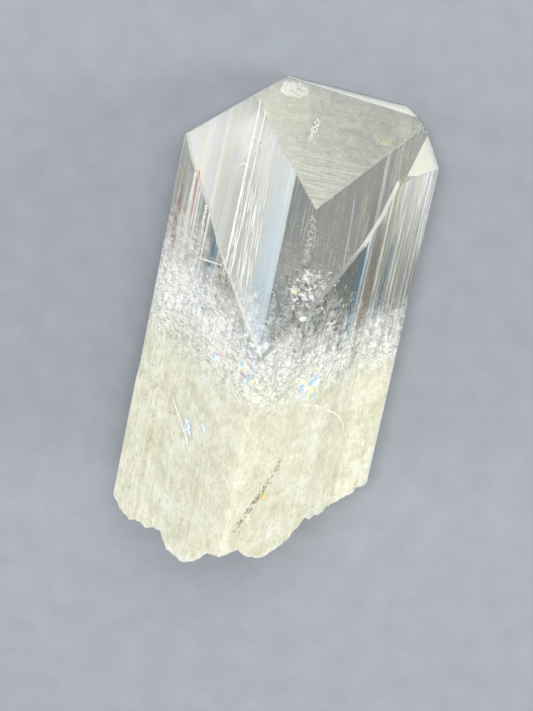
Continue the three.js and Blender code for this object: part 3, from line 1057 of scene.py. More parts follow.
WHITE_CRACKS = {
    "curved crack": dict(
        Start=(1.65, 1.65, -2.43), Bend=(3.1, 3.3, -2.9), End=(3.79, 4.57, -4.98), Count=110,
        Spread=(0.05, 0.05, 0.04), Smallest=0.03, Largest=0.1, Slimness=0.22, Cling=0.97),
    "star crack": dict(
        Start=(-2.71, 2.89, -3.96), Bend=(-2.35, 2.35, -4.4), End=(-1.95, 1.95, -4.9), Count=60,
        Spread=(0.03, 0.03, 0.03), Smallest=0.04, Largest=0.13, Slimness=0.2, Cling=0.97),
    "star ray": dict(
        Start=(-2.2, 2.2, -4.2), Bend=(-2.0, 2.0, -4.9), End=(-1.7, 1.7, -5.5), Count=40,
        Spread=(0.04, 0.04, 0.03), Smallest=0.03, Largest=0.08, Slimness=0.2, Cling=0.975),
    "feather": dict(
        Start=(0.08, 4.8, 6.2), Bend=(0.12, 5.0, 6.45), End=(0.2, 5.3, 6.8), Count=70,
        Spread=(0.09, 0.05, 0.07), Smallest=0.01, Largest=0.04, Slimness=0.5, Cling=0.99),
    "level crack": dict(
        Start=(-2.89, 3.05, 1.71), Bend=(-2.4, 2.53, 1.95), End=(-1.95, 2.05, 2.15), Count=60,
        Spread=(0.02, 0.02, 0.02), Smallest=0.03, Largest=0.09, Slimness=0.2, Cling=1.0),
    "rim of the lower pit": dict(
        Start=(-2.15, 4.0, 5.05), Bend=(-2.0, 4.12, 5.22), End=(-1.84, 4.0, 5.09), Count=22,
        Spread=(0.02, 0.02, 0.02), Smallest=0.02, Largest=0.06, Slimness=0.35, Cling=1.0),
    "rim of the upper pit": dict(
        Start=(-2.0, 4.62, 5.9), Bend=(-1.88, 4.7, 6.0), End=(-1.76, 4.62, 5.9), Count=16,
        Spread=(0.02, 0.02, 0.02), Smallest=0.02, Largest=0.05, Slimness=0.35, Cling=1.0),
}
IRON_STAINS = {
    "stained crack": dict(
        Start=(1.36, 1.25, -4.7), Bend=(0.95, 0.9, -5.7), End=(0.3, 0.25, -7.1), Count=70,
        Spread=(0.05, 0.05, 0.2), Smallest=0.02, Largest=0.09, Slimness=0.2, Cling=0.985),
    "darker stain": dict(
        Start=(1.0, 0.9, -5.55), Bend=(0.9, 0.8, -5.8), End=(0.75, 0.7, -6.15), Count=16,
        Spread=(0.05, 0.05, 0.1), Smallest=0.02, Largest=0.07, Slimness=0.4, Cling=0.985),
    "brown specks": dict(
        Start=(-3.9, 4.2, -4.2), Bend=(0.4, -0.4, -6.0), End=(4.2, 4.9, -7.2), Count=16,
        Spread=(0.6, 0.6, 1.2), Smallest=0.015, Largest=0.04, Slimness=0.7, Cling=0.985),
}
ORANGE_SPOTS = {
    "orange spot": dict(
        Start=(1.0, 0.9, -5.98), Bend=(1.02, 0.92, -5.94), End=(1.06, 0.96, -5.9), Count=9,
        Spread=(0.05, 0.05, 0.06), Smallest=0.03, Largest=0.07, Slimness=0.9, Cling=0.985),
}
STRAW_STAINS = {
    "straw smudge": dict(
        Start=(2.45, 5.05, 6.5), Bend=(2.6, 5.15, 6.64), End=(2.8, 5.1, 6.58), Count=60,
        Spread=(0.16, 0.1, 0.12), Smallest=0.008, Largest=0.022, Slimness=0.8, Cling=0.99),
}
FIRST_TRAIL_SEED = 500
STAIN_DARKENING = 0.6


def build_trails(groups, material, name, settings):
    """Strings every trail of a group, as one piece."""
    skin, tree = standing_skin(), trail_tree()
    bm = bmesh.new()
    for step, values in enumerate(groups.values()):
        trail = new_object(name, bpy.data.meshes.new(name))
        run_tree(trail, tree, {
            **values, "Count": round(values["Count"] * settings.amount),
            "Seed": FIRST_TRAIL_SEED + 10 * step, "Skin": skin, "Material": material})
        bm.from_mesh(trail.data)
        bpy.data.objects.remove(trail)
    bpy.data.objects.remove(skin)
    piece = new_object(name, mesh_from(bm, name))
    piece.data.materials.append(material)
    finish_piece(piece, name)


# ---- Materials ------------------------------------------------------------------------------


def crystal_place(tree):
    """Object coordinates turned to the standing crystal's, in millimetres."""
    place = add_node(tree, "ShaderNodeTexCoord").outputs["Object"]
    crystal_from_part = PART_FROM_CRYSTAL.inverted()
    return add_node(tree, "ShaderNodeMapping", {
        "Vector": place,
        "Location": crystal_from_part.translation,
        "Rotation": crystal_from_part.to_euler(),
        "Scale": crystal_from_part.to_scale(),
    })


def new_material(name):
    material = bpy.data.materials.new(name)
    material.use_nodes = True
    material.node_tree.nodes.clear()
    return material, material.node_tree


# Bands of colour: the bluish ones are painted reflection of bluish light, the warm ones traces of
# colour that growth caught. Each: x, half width, colour, and whether only the sides have it.
TINT_AND_REFLECTION_BANDS = [
    (-0.4, 0.8, "#bfd9ee", False),
    (2.72, 0.2, "#7fa3bb", True),
    (3.15, 0.22, "#c9b59c", True),
    (3.62, 0.08, "#9fb3c0", True),
    (-2.45, 0.2, "#86a3b8", True),
    (-3.96, 0.12, "#d8b8aa", True),
]

# How the shards of a crack are turned, and how many there are to a millimetre.
SHARDS = (((0.7, 0.4, 0.0), 6.0), ((-0.8, 0.3, 1.1), 9.0), ((1.5, -0.5, 0.5), 13.0))
SHARD_STRETCH = (1, 1, 4)
SHARD_GAPS = 0.78

# Healed cracks that lie right under the skin: place, radius, and whether air in them gives them
# the colours of a bubble.
PATCHES = [
    ((0.9, 1.82, 2.46), 0.17, True),
    ((0.6, 1.45, 2.0), 0.15, True),
    ((1.1, 0.95, 1.25), 0.15, True),
    ((-1.75, 1.7, 1.0), 0.17, True),
    ((1.09, 1.5, 2.0), 0.85, False),
    ((0.45, 0.9, 1.5), 0.4, False),
    ((1.85, 1.84, -1.7), 0.66, True),
    ((-0.5, 0.42, -0.85), 0.5, True),
    ((-1.55, 1.42, -1.0), 0.36, True),
    ((2.1, 2.15, 0.5), 0.6, False),
    ((2.65, 2.85, -0.15), 0.45, False),
    ((-0.95, 0.9, 0.45), 0.5, False),
    ((-1.9, 1.85, 0.5), 0.4, False),
    ((0.9, 0.8, -0.9), 0.35, False),
]

# The noises that the skin's material is mixed from: how they are stretched, their cells to a
# millimetre, detail and roughness. The two that run along the walls have no depth, so they
# show as lines that keep their places all the way up.
NOISES = {
    "drift": ((1, 1, 1), 0.7, 2.0, 0.5),
    "grain": ((1, 1, 1), 5.0, 6.0, 0.72),
    "streaks": ((1, 1, 0.13), 7.0, 4.0, 0.65),
    "striae": ((1, 0, 0.012), 8.0, 5.0, 0.7),
    "bands": ((0.3, 0.3, 1), 6.0, 4.0, 0.65),
    "clouding": ((1, 1, 1), 1.1, 4.0, 0.5),
    "fine streaks": ((1, 1, 0.3), 11.0, 5.0, 0.75),
    "frosting": ((1, 1, 1), 3.0, 6.0, 0.8),
    "flecks": ((1, 1, 1), 9.0, 2.0, 0.5),
    "tints": ((1, 0, 0.012), 6.0, 3.0, 0.5),
    "growth steps": ((0.06, 1, 1), 16.0, 3.0, 0.7),
    "speckle": ((1, 1, 1), 30.0, 2.0, 0.5),
}
# The edge of the milk climbs to the left, and these noises move it, by so many millimetres.
MILK_TILT = 0.25
MILK_WANDER = {"drift": 3.2, "grain": 2.6, "streaks": 2.4, "striae": 2.0, "bands": 2.4}
SHARD_RISE = -0.6
MILK_FROM = 1.6
MILK_FULL = -1.5
# What marks the cream, one over the other: a pattern, where it starts, where it is full, how
# strong it is there, and its colour. They are dashes, scratches, mottle, flecks and veins.
CREAM_MARKS = [
    ("fine streaks", 0.44, 0.32, 0.7, "#a9a888"),
    ("fine streaks", 0.56, 0.66, 0.7, "#ffffff"),
    ("frosting", 0.52, 0.38, 0.55, "#bfbf9f"),
    ("flecks", 0.68, 0.74, 0.6, "#8f8a66"),
    ("veins", 0.03, 0.0, 0.22, "#ffffff"),
]
VEINS_PER_MM = 1.4
SHADE_LINES_PER_MM = 2.6
FLASHES_PER_MM = 5.5
# The pane at the left is clearest along this x.
PANE_CLEAREST = -1.9


def skin_sources(tree):
    """What the skin's material is mixed from, by name: place, face attributes and patterns."""
    place = crystal_place(tree)
    parts = add_node(tree, "ShaderNodeSeparateXYZ", {0: place}).outputs
    of = {"place": place, "x": parts["X"], "z": parts["Z"]}
    for name in FACE_LOOKS:
        of[name] = add_node(tree, "ShaderNodeAttribute", attribute_name=name).outputs["Fac"]
    for name, (stretch, scale, detail, roughness) in NOISES.items():
        stretched = add_node(tree, "ShaderNodeMapping", {"Vector": place, "Scale": stretch})
        of[name] = add_node(tree, "ShaderNodeTexNoise", {
            "Vector": stretched, "Scale": scale, "Detail": detail, "Roughness": roughness})
    bent = add_node(tree, "ShaderNodeVectorMath", {
        0: place, 1: of["drift"].outputs["Color"]}, operation="ADD")
    crumpled = add_node(tree, "ShaderNodeVectorMath", {
        0: of["bands"].outputs["Color"], 1: bent}, operation="ADD")
    # The cells' edges draw the veins and the lines of painted shade.
    for name, where, scale in (
            ("veins", bent, VEINS_PER_MM), ("painted_shade_lines", crumpled, SHADE_LINES_PER_MM)):
        of[name] = add_node(tree, "ShaderNodeTexVoronoi", {
            "Vector": where, "Scale": scale}, feature="DISTANCE_TO_EDGE")
    return of


def shard_pattern(tree, place):
    """The slivers of a shattered place, turned three ways."""
    shards = 0.0
    for turn, scale in SHARDS:
        slivers = add_node(tree, "ShaderNodeMapping", {
            "Vector": place, "Rotation": turn, "Scale": SHARD_STRETCH}, vector_type="TEXTURE")
        slivers = add_node(tree, "ShaderNodeTexVoronoi", {"Vector": slivers, "Scale": scale})
        slivers = add_node(tree, "ShaderNodeSeparateColor", {0: slivers.outputs["Color"]})
        slivers = add_node(tree, "ShaderNodeMath", {
            0: slivers, 1: SHARD_GAPS}, operation="GREATER_THAN")
        shards = add_node(tree, "ShaderNodeMath", {0: shards, 1: slivers}, operation="MAXIMUM")
    return shards


def milky_half(tree, of, shards, milk_edge):
    """How milky each place is: the edge of the milk wanders, and worn front edges stay clear."""
    height = add_node(tree, "ShaderNodeMath", {
        0: of["x"], 1: MILK_TILT, 2: of["z"]}, operation="MULTIPLY_ADD")
    moved_by = [(of[name], reach) for name, reach in MILK_WANDER.items()]
    for cause, reach in (*moved_by, (shards, SHARD_RISE)):
        height = add_node(tree, "ShaderNodeMath", {
            0: cause, 1: reach, 2: height}, operation="MULTIPLY_ADD")
    middle = milk_edge + sum(MILK_WANDER.values()) / 2
    milk = add_node(tree, "ShaderNodeMapRange", {
        "Value": height, "From Min": middle + MILK_FROM, "From Max": middle + MILK_FULL},
        interpolation_type="SMOOTHSTEP")
    glassy = add_node(tree, "ShaderNodeMath", {
        0: of["worn"], 1: EDGE_WEAR, 2: 0.05}, operation="COMPARE")
    left_over = add_node(tree, "ShaderNodeMapRange", {
        "Value": glassy, "To Min": 1.0, "To Max": 0.3})
    return add_node(tree, "ShaderNodeMath", {0: milk, 1: left_over}, operation="MULTIPLY")


def healed_cracks(tree, of, shards, milk):
    """The milk with the healed cracks added, where those are coloured, and where white."""
    ragged = add_node(tree, "ShaderNodeMath", {0: of["grain"], 1: of["bands"]}, operation="ADD")
    whole = add_node(tree, "ShaderNodeMath", {0: of["worn"], 1: 0.1}, operation="LESS_THAN")
    found = {True: 0.0, False: 0.0}
    for centre, radius, has_colours in PATCHES:
        away = add_node(tree, "ShaderNodeVectorMath", {
            0: of["place"], 1: centre}, operation="DISTANCE").outputs["Value"]
        away = add_node(tree, "ShaderNodeMath", {
            0: ragged, 1: 3.0 * radius, 2: away}, operation="MULTIPLY_ADD")
        patch = add_node(tree, "ShaderNodeMapRange", {
            "Value": away, "From Min": 4.0 * radius, "From Max": 3.3 * radius})
        for share in () if has_colours else (shards, whole):
            patch = add_node(tree, "ShaderNodeMath", {0: patch, 1: share}, operation="MULTIPLY")
        milk = add_node(tree, "ShaderNodeMath", {0: milk, 1: patch}, operation="MAXIMUM")
        found[has_colours] = add_node(tree, "ShaderNodeMath", {
            0: found[has_colours], 1: patch}, operation="MAXIMUM")
    return milk, found[True], found[False]


def milky_colour(tree, of, settings, coloured, white_patch):
    """The milky half's colour: white at its edge, cream below, marks, films and painted shade."""
    milk_edge = settings.milk_height / MM
    cream = add_node(tree, "ShaderNodeValToRGB", {0: of["clouding"]}, stops=[
        (0.3, linear("#d6d5ba")), (0.7, linear("#efefe1")),
        (0.5, (*settings.cream_colour, 1.0))])
    depth = add_node(tree, "ShaderNodeMapRange", {
        "Value": of["z"], "From Min": milk_edge - 0.4, "From Max": milk_edge - 2.8})
    cream = add_node(tree, "ShaderNodeMix", {
        0: depth, 6: linear("#ffffff"), 7: cream}, data_type="RGBA").outputs[2]
    for name, start, full, strength, mark_colour in CREAM_MARKS:
        mark = add_node(tree, "ShaderNodeMapRange", {
            "Value": of[name], "From Min": start, "From Max": full, "To Max": strength})
        cream = add_node(tree, "ShaderNodeMix", {
            0: mark, 6: cream, 7: linear(mark_colour)}, data_type="RGBA").outputs[2]

    # Painted shade: dark lines between the cracks near the milk's edge and in the white patches.
    painted_shade_lines = add_node(tree, "ShaderNodeMapRange", {
        "Value": of["painted_shade_lines"], "From Min": 0.07, "From Max": 0.02, "To Max": 0.75})
    zone = add_node(tree, "ShaderNodeMapRange", {"Value": depth, "From Min": 1.0, "From Max": 0.6})
    zone = add_node(tree, "ShaderNodeMath", {0: zone, 1: white_patch}, operation="MAXIMUM")
    painted_shade_lines = add_node(tree, "ShaderNodeMath", {0: painted_shade_lines, 1: zone}, operation="MULTIPLY")
    cream = add_node(tree, "ShaderNodeMix", {
        0: painted_shade_lines, 6: cream, 7: linear("#77786e")}, data_type="RGBA").outputs[2]

    # Films of air in a crack have the colours of a bubble, one to each piece of the film.
    cells = add_node(tree, "ShaderNodeTexVoronoi", {"Vector": of["place"], "Scale": FLASHES_PER_MM})
    films = add_node(tree, "ShaderNodeValToRGB", {0: cells.outputs["Color"]}, stops=[
        (0.0, linear("#a9d8ff")), (1.0, linear("#ffffff")), (0.22, linear("#ffffff")),
        (0.42, linear("#ffc4e0")), (0.48, linear("#ffffff")), (0.58, linear("#aef2f0")),
        (0.62, linear("#ffffff")), (0.72, linear("#fff4b4"))])
    films.color_ramp.interpolation = "CONSTANT"
    return add_node(tree, "ShaderNodeMix", {
        0: coloured, 6: cream, 7: films}, data_type="RGBA").outputs[2]


def clear_colour(tree, of, settings):
    """The colour of the clear half's haze, with its bands of growth tints and of painted
    reflection.
    """
    haze_and_reflection_colour = add_node(tree, "ShaderNodeValToRGB", {0: of["tints"]}, stops=[
        (0.38, linear("#f5f2e4")), (0.62, linear("#f1f4f4")),
        (0.5, (*settings.clear_colour, 1.0))])
    anywhere = add_node(tree, "ShaderNodeMapRange", {
        "Value": of["z"], "From Min": 5.5, "From Max": 2.0, "To Min": 0.12, "To Max": 0.65})
    on_sides = add_node(tree, "ShaderNodeMapRange", {
        "Value": of["z"], "From Min": 4.6, "From Max": 3.0, "To Max": 1 / SIDE_VEIL[1]})
    on_sides = add_node(tree, "ShaderNodeMath", {
        0: on_sides, 1: of["striped"]}, operation="MULTIPLY")
    # The bluish bands are painted reflection of bluish light; the warm ones are growth tints.
    for x, half_width, tint_and_reflection_colour, is_on_sides in TINT_AND_REFLECTION_BANDS:
        off_band = add_node(tree, "ShaderNodeMath", {0: of["x"], 1: x}, operation="SUBTRACT")
        off_band = add_node(tree, "ShaderNodeMath", {0: off_band}, operation="ABSOLUTE")
        in_band = add_node(tree, "ShaderNodeMapRange", {
            "Value": off_band, "From Min": 0.3 * half_width, "From Max": half_width,
            "To Min": 1.0, "To Max": 0.0})
        in_band = add_node(tree, "ShaderNodeMath", {
            0: in_band, 1: on_sides if is_on_sides else anywhere}, operation="MULTIPLY")
        haze_and_reflection_colour = add_node(tree, "ShaderNodeMix", {
            0: in_band, 6: haze_and_reflection_colour, 7: linear(tint_and_reflection_colour)}, data_type="RGBA").outputs[2]
    return haze_and_reflection_colour


def haze_amount(tree, of):
    """How hazy the clear half is: frosted on top, striped on its walls, veiled on the pane."""
    haze = add_node(tree, "ShaderNodeMapRange", {
        "Value": of["frosting"], "From Min": 0.35, "From Max": 0.65, "To Min": 0.35,
        "To Max": 0.53})
    haze = add_node(tree, "ShaderNodeMath", {
        0: of["x"], 1: -0.04, 2: haze}, operation="MULTIPLY_ADD")
    step_lines = add_node(tree, "ShaderNodeMapRange", {
        "Value": of["growth steps"], "From Min": 0.45, "From Max": 0.6})
    near_apex = add_node(tree, "ShaderNodeMapRange", {
        "Value": of["z"], "From Min": 6.3, "From Max": 4.8, "To Min": 0.04, "To Max": 0.3})
    step_lines = add_node(tree, "ShaderNodeMath", {
        0: step_lines, 1: near_apex}, operation="MULTIPLY")
    haze = add_node(tree, "ShaderNodeMath", {0: haze, 1: step_lines}, operation="ADD")
    haze = add_node(tree, "ShaderNodeMath", {0: haze, 1: of["frost"]}, operation="MULTIPLY")
    stripes = add_node(tree, "ShaderNodeMapRange", {
        "Value": of["striae"], "From Min": 0.5, "From Max": 0.62},
        interpolation_type="SMOOTHSTEP")
    off_centre = add_node(tree, "ShaderNodeMath", {
        0: of["x"], 1: -PANE_CLEAREST}, operation="ADD")
    off_centre = add_node(tree, "ShaderNodeMath", {0: off_centre}, operation="ABSOLUTE")
    veil_slope = add_node(tree, "ShaderNodeMapRange", {
        "Value": off_centre, "From Max": 1.7, "To Min": 0.7, "To Max": 1.32})
    far_right = add_node(tree, "ShaderNodeMapRange", {
        "Value": of["x"], "From Min": 2.7, "From Max": 3.6})
    high_up = add_node(tree, "ShaderNodeMapRange", {
        "Value": of["z"], "From Min": 3.0, "From Max": 5.4, "To Max": 0.4})
    top_right = add_node(tree, "ShaderNodeMath", {
        0: far_right, 1: high_up}, operation="MULTIPLY")
    for cause, amount in (
            (stripes, of["striped"]), (of["veiled"], veil_slope), (top_right, of["striped"])):
        haze = add_node(tree, "ShaderNodeMath", {
            0: cause, 1: amount, 2: haze}, operation="MULTIPLY_ADD")
    return haze


def danburite_material(settings):
    """Danburite: a colourless borosilicate, glass-clear where it grew slowly.

    Below, tiny cracks and fluid veils scatter the light, so it turns milky and cream. The top
    facet is frosted by growth steps, and broken places and worn edges are rough and whitish.
    """
    material, tree = new_material("Danburite")
    of = skin_sources(tree)
    shards = shard_pattern(tree, of["place"])
    milk = milky_half(tree, of, shards, settings.milk_height / MM)
    milk, coloured, white_patch = healed_cracks(tree, of, shards, milk)
    cream = milky_colour(tree, of, settings, coloured, white_patch)
    colour = add_node(tree, "ShaderNodeMix", {
        0: milk, 6: clear_colour(tree, of, settings), 7: cream}, data_type="RGBA").outputs[2]
    for cause, over in ((of["worn"], "#efeedb"), (of["frost"], "#f2f1e2")):
        colour = add_node(tree, "ShaderNodeMix", {
            0: cause, 6: colour, 7: linear(over)}, data_type="RGBA").outputs[2]

    clear = add_node(tree, "ShaderNodeMapRange", {"Value": milk, "To Min": 1.0, "To Max": 0.12})
    unworn = add_node(tree, "ShaderNodeMapRange", {
        "Value": of["worn"], "To Min": 1.0, "To Max": 0.1})
    unfrosted = add_node(tree, "ShaderNodeMath", {
        0: 1.0, 1: haze_amount(tree, of)}, operation="SUBTRACT", use_clamp=True)
    for share in (unworn, unfrosted):
        clear = add_node(tree, "ShaderNodeMath", {0: clear, 1: share}, operation="MULTIPLY")
    roughness = add_node(tree, "ShaderNodeMapRange", {
        "Value": milk, "To Min": 0.03, "To Max": 0.3})
    for cause, amount in ((of["frost"], 0.22), (of["veiled"], 0.15), (of["worn"], 0.35)):
        roughness = add_node(tree, "ShaderNodeMath", {
            0: cause, 1: amount, 2: roughness}, operation="MULTIPLY_ADD")

    etching = add_node(tree, "ShaderNodeMath", {
        0: of["grain"], 1: of["fine streaks"]}, operation="ADD")
    etching = add_node(tree, "ShaderNodeMath", {0: etching, 1: milk}, operation="MULTIPLY")
    speckle = add_node(tree, "ShaderNodeMath", {
        0: of["speckle"], 1: of["frost"]}, operation="MULTIPLY")
    relief = add_node(tree, "ShaderNodeMath", {0: speckle, 1: etching}, operation="ADD")
    bump = add_node(tree, "ShaderNodeBump", {
        "Height": relief, "Distance": 0.035 * MM, "Strength": 0.8})
    glass = add_node(tree, "ShaderNodeBsdfPrincipled", {
        "Base Color": colour,
        "Roughness": roughness,
        "IOR": 1.633,
        "Transmission Weight": clear,
        "Subsurface Weight": 1.0,
        "Subsurface Radius": (1.0, 0.95, 0.8),
        "Subsurface Scale": 0.5 * MM,
        "Normal": bump,
    })
    tint = add_node(tree, "ShaderNodeVolumeAbsorption", {
        "Color": linear("#e9eddc"), "Density": 40.0})
    add_node(tree, "ShaderNodeOutputMaterial", {"Surface": glass, "Volume": tint})
    return material


def milky_material(white):
    """The crystal's heart: danburite so full of tiny cracks that it is white, with painted shade in
    its gaps.
    """
    material, tree = new_material("Milky danburite")
    place = crystal_place(tree)
    lengthwise = add_node(tree, "ShaderNodeMapping", {"Vector": place, "Scale": (1, 1, 0.3)})
    # Painted shade: where this noise is low, the heart turns grey for the gaps between its cracks.
    shaded_gaps = add_node(tree, "ShaderNodeTexNoise", {
        "Vector": lengthwise, "Scale": 7.0, "Detail": 5.0, "Roughness": 0.7})
    colour = add_node(tree, "ShaderNodeValToRGB", {0: shaded_gaps}, stops=[
        (0.34, linear("#8f908a")), (0.62, white), (0.42, linear("#e6e6dc"))])
    milk = add_node(tree, "ShaderNodeBsdfPrincipled", {"Base Color": colour, "Roughness": 0.5})
    add_node(tree, "ShaderNodeOutputMaterial", {"Surface": milk})
    return material


def fracture_material(settings):
    """The air-filled cracks of a cleaved crystal: white, dark grey with painted shade, and
    mirror-bright where smooth.
    """
    material, tree = new_material("Inner fracture")
    chance = add_node(tree, "ShaderNodeAttribute", attribute_name="chance").outputs["Fac"]
    white = (*settings.crack_colour, 1.0)
    # Painted shade: the flakes of lowest chance are dark to mid grey, standing in for cracks that
    # mirror the dark.
    colour = add_node(tree, "ShaderNodeValToRGB", {0: chance}, stops=[
        (0.0, linear("#3c4042")), (0.26, white), (0.22, linear("#6f7370"))])
    mirror = add_node(tree, "ShaderNodeMapRange", {
        "Value": chance, "From Min": 0.69, "From Max": 0.71})
    foil = add_node(tree, "ShaderNodeBsdfPrincipled", {
        "Base Color": colour, "Metallic": mirror, "Roughness": 0.25})
    add_node(tree, "ShaderNodeOutputMaterial", {"Surface": foil})
    return material


def flash_material():
    """The interference colours of air films in thin cracks, a colour to each film."""
    material, tree = new_material("Interference film")
    chance = add_node(tree, "ShaderNodeAttribute", attribute_name="chance").outputs["Fac"]
    colour = add_node(tree, "ShaderNodeValToRGB", {0: chance}, stops=[
        (0.0, linear("#5fb8ff")), (0.75, linear("#fff2a0")), (0.18, linear("#ffffff")),
        (0.34, linear("#ff9fc6")), (0.5, linear("#9fe8e6")), (0.62, linear("#ffffff"))])
    film = add_node(tree, "ShaderNodeBsdfPrincipled", {
        "Base Color": colour, "Roughness": 0.25})
    add_node(tree, "ShaderNodeOutputMaterial", {"Surface": film})
    return material


def inclusion_material(name, low_colour, high_colour, roughness):
    """A matt inclusion whose colour varies a little from grain to grain."""
    material, tree = new_material(name)
    place = crystal_place(tree)
    mottle = add_node(tree, "ShaderNodeTexNoise", {"Vector": place, "Scale": 14.0, "Detail": 2.0})
    colour = add_node(tree, "ShaderNodeValToRGB", {0: mottle}, stops=[
        (0.35, low_colour), (0.65, high_colour)])
    crust = add_node(tree, "ShaderNodeBsdfPrincipled", {
        "Base Color": colour, "Roughness": roughness})
    add_node(tree, "ShaderNodeOutputMaterial", {"Surface": crust})
    return material


def floor_material(settings):
    """Matt seamless paper, pale cool grey, with the faint mottle of its fibres."""
    material, tree = new_material("Seamless paper")
    place = add_node(tree, "ShaderNodeTexCoord").outputs["Object"]
    mottle = add_node(tree, "ShaderNodeTexNoise", {"Vector": place, "Scale": 900.0, "Detail": 4.0})
    lighter = [min(1.0, 1.1 * part) for part in settings.floor_colour]
    colour = add_node(tree, "ShaderNodeValToRGB", {0: mottle}, stops=[
        (0.3, (*settings.floor_colour, 1.0)), (0.7, (*lighter, 1.0))])
    paper = add_node(tree, "ShaderNodeBsdfPrincipled", {"Base Color": colour, "Roughness": 0.8})
    add_node(tree, "ShaderNodeOutputMaterial", {"Surface": paper})
    return material


# ---- The stage ------------------------------------------------------------------------------

VIEW_RISE = math.radians(28)
VIEW_LEAN = math.radians(12)
VIEW_DISTANCE = 142.0
VIEW_AIM = (0.155, 0.052)
VIEW_LENS = 208.5
SENSOR_WIDTH = 36
FLOOR_SIZE = 2.0
# The floor lies this far under the crystal, so that the two don't share a plane.
FLOOR_DROP = 0.01 * MM
# Where each softbox hangs, in metres, how large and how bright it is, and its light's colour.
SOFTBOXES = {
    "foot softbox": ((-0.08, 0.32, 0.15), (0.4, 0.26), 1.2, "#fffaf0"),
    "right softbox": ((-0.34, 0.02, 0.1), (0.2, 0.18), 5.5, "#fffdf4"),
    "left softbox": ((0.34, 0.17, 0.09), (0.26, 0.16), 5.0, "#fffdf4"),
    "front softbox": ((-0.05, -0.325, 0.31), (0.34, 0.24), 2.5, "#fffef8"),
    "overhead softbox": ((0.04, -0.2, 0.38), (0.3, 0.2), 4.4, "#fbfcff"),
}


def add_camera():
    """A camera in front of the crystal, above it as it lies, with the crystal leaning right."""
    forward = Vector((0, math.cos(VIEW_RISE), -math.sin(VIEW_RISE)))
    level_right = Vector((1, 0, 0))
    level_up = level_right.cross(forward)
    right = math.cos(VIEW_LEAN) * level_right + math.sin(VIEW_LEAN) * level_up
    up = right.cross(forward)
    target = VIEW_AIM[0] * right + VIEW_AIM[1] * up
    place = target - VIEW_DISTANCE * forward
    turn = PART_FROM_CRYSTAL.to_3x3().normalized()
    axes = Matrix((turn @ right, turn @ up, turn @ -forward)).transposed()
    data = bpy.data.cameras.new("Camera")
    data.lens = VIEW_LENS
    data.sensor_width = SENSOR_WIDTH
    data.clip_start = 0.01
    data.clip_end = 10
    camera = new_object("Camera", data)
    camera.matrix_world = Matrix.Translation(PART_FROM_CRYSTAL @ place) @ axes.to_4x4()
    bpy.context.scene.camera = camera


def add_softbox(name, place, size, brightness, colour):
    """A softbox of this brightness, in watts per square metre and steradian, facing the crystal."""
    data = bpy.data.lights.new(name, "AREA")
    data.shape = "RECTANGLE"
    data.size, data.size_y = size
    data.energy = brightness * math.pi * size[0] * size[1]
    data.color = linear(colour)[:3]
    light = new_object(name, data)
    light.location = place
    light.rotation_euler = (-Vector(place)).to_track_quat("-Z", "Y").to_euler()
    light.visible_camera = False


def build_stage(settings):
    bm = bmesh.new()
    bmesh.ops.create_grid(bm, x_segments=1, y_segments=1, size=FLOOR_SIZE)
    floor = new_object("floor", mesh_from(bm, "floor"))
    floor.data.transform(Matrix.Translation((0, 0, -FLOOR_DROP)))
    floor.data.materials.append(floor_material(settings))
    for name, (place, size, brightness, colour) in SOFTBOXES.items():
        add_softbox(name, place, size, brightness * settings.softbox_brightness, colour)
    world = bpy.data.worlds.new("studio")
    world.use_nodes = True
    world.node_tree.nodes.clear()
    room = add_node(world.node_tree, "ShaderNodeBackground", {
        "Color": linear("#8f959e"), "Strength": settings.room_brightness})
    add_node(world.node_tree, "ShaderNodeOutputWorld", {"Surface": room})
    scene = bpy.context.scene
    scene.world = world
    scene.cycles.glossy_bounces = 16
    scene.cycles.diffuse_bounces = 6
    scene.cycles.max_bounces = 20
    scene.cycles.transmission_bounces = 20
    scene.view_settings.view_transform = "Standard"
    add_camera()


# ---- Settings, operators and panel ----------------------------------------------------------


LENGTH = dict(precision=5, unit="LENGTH", subtype="DISTANCE")
COLOUR = dict(size=3, min=0.0, max=1.0, subtype="COLOR")


class SkinSettings(bpy.types.PropertyGroup):
    striation_pitch: bpy.props.FloatProperty(
        name="Striation pitch", description="Usual width of a growth striation on the walls",
        default=0.36 * MM, min=0.1 * MM, **LENGTH)
    striation_relief: bpy.props.FloatProperty(
        name="Striation relief", description="Depth of the growth striations",
        default=0.05 * MM, min=0.0, **LENGTH)
    terrace_relief: bpy.props.FloatProperty(
        name="Terrace relief", description="Depth of the level terraces on the top facet",
        default=0.03 * MM, min=0.0, **LENGTH)
    frost_relief: bpy.props.FloatProperty(
        name="Frost relief", description="Depth of the top facet's frosted grain",
        default=0.012 * MM, min=0.0, **LENGTH)
    etch_relief: bpy.props.FloatProperty(
        name="Etch relief", description="Depth of the etching on the lower walls",
        default=0.05 * MM, min=0.0, **LENGTH)
    milk_height: bpy.props.FloatProperty(
        name="Milk height", description="Where the clear half turns milky, from the tip's front",
        default=0.25 * MM, **LENGTH)
    clear_colour: bpy.props.FloatVectorProperty(
        name="Clear colour", description="Colour of the clear half",
        default=linear("#fbfdf8")[:3], **COLOUR)
    cream_colour: bpy.props.FloatVectorProperty(
        name="Cream colour", description="Colour of the milky half",
        default=linear("#e6e5ce")[:3], **COLOUR)


class FractureSettings(bpy.types.PropertyGroup):
    amount: bpy.props.FloatProperty(
        name="Amount", description="How many cracks there are, 1 being the usual number",
        default=1.0, min=0.01, max=2.0, subtype="FACTOR")
    crumple: bpy.props.FloatProperty(
        name="Crumple", description="How far the cracks bend out of their planes",
        default=0.28 * MM, min=0.0, **LENGTH)
    crack_colour: bpy.props.FloatVectorProperty(
        name="Crack colour", description="Colour of the cracks",
        default=linear("#ffffff")[:3], **COLOUR)


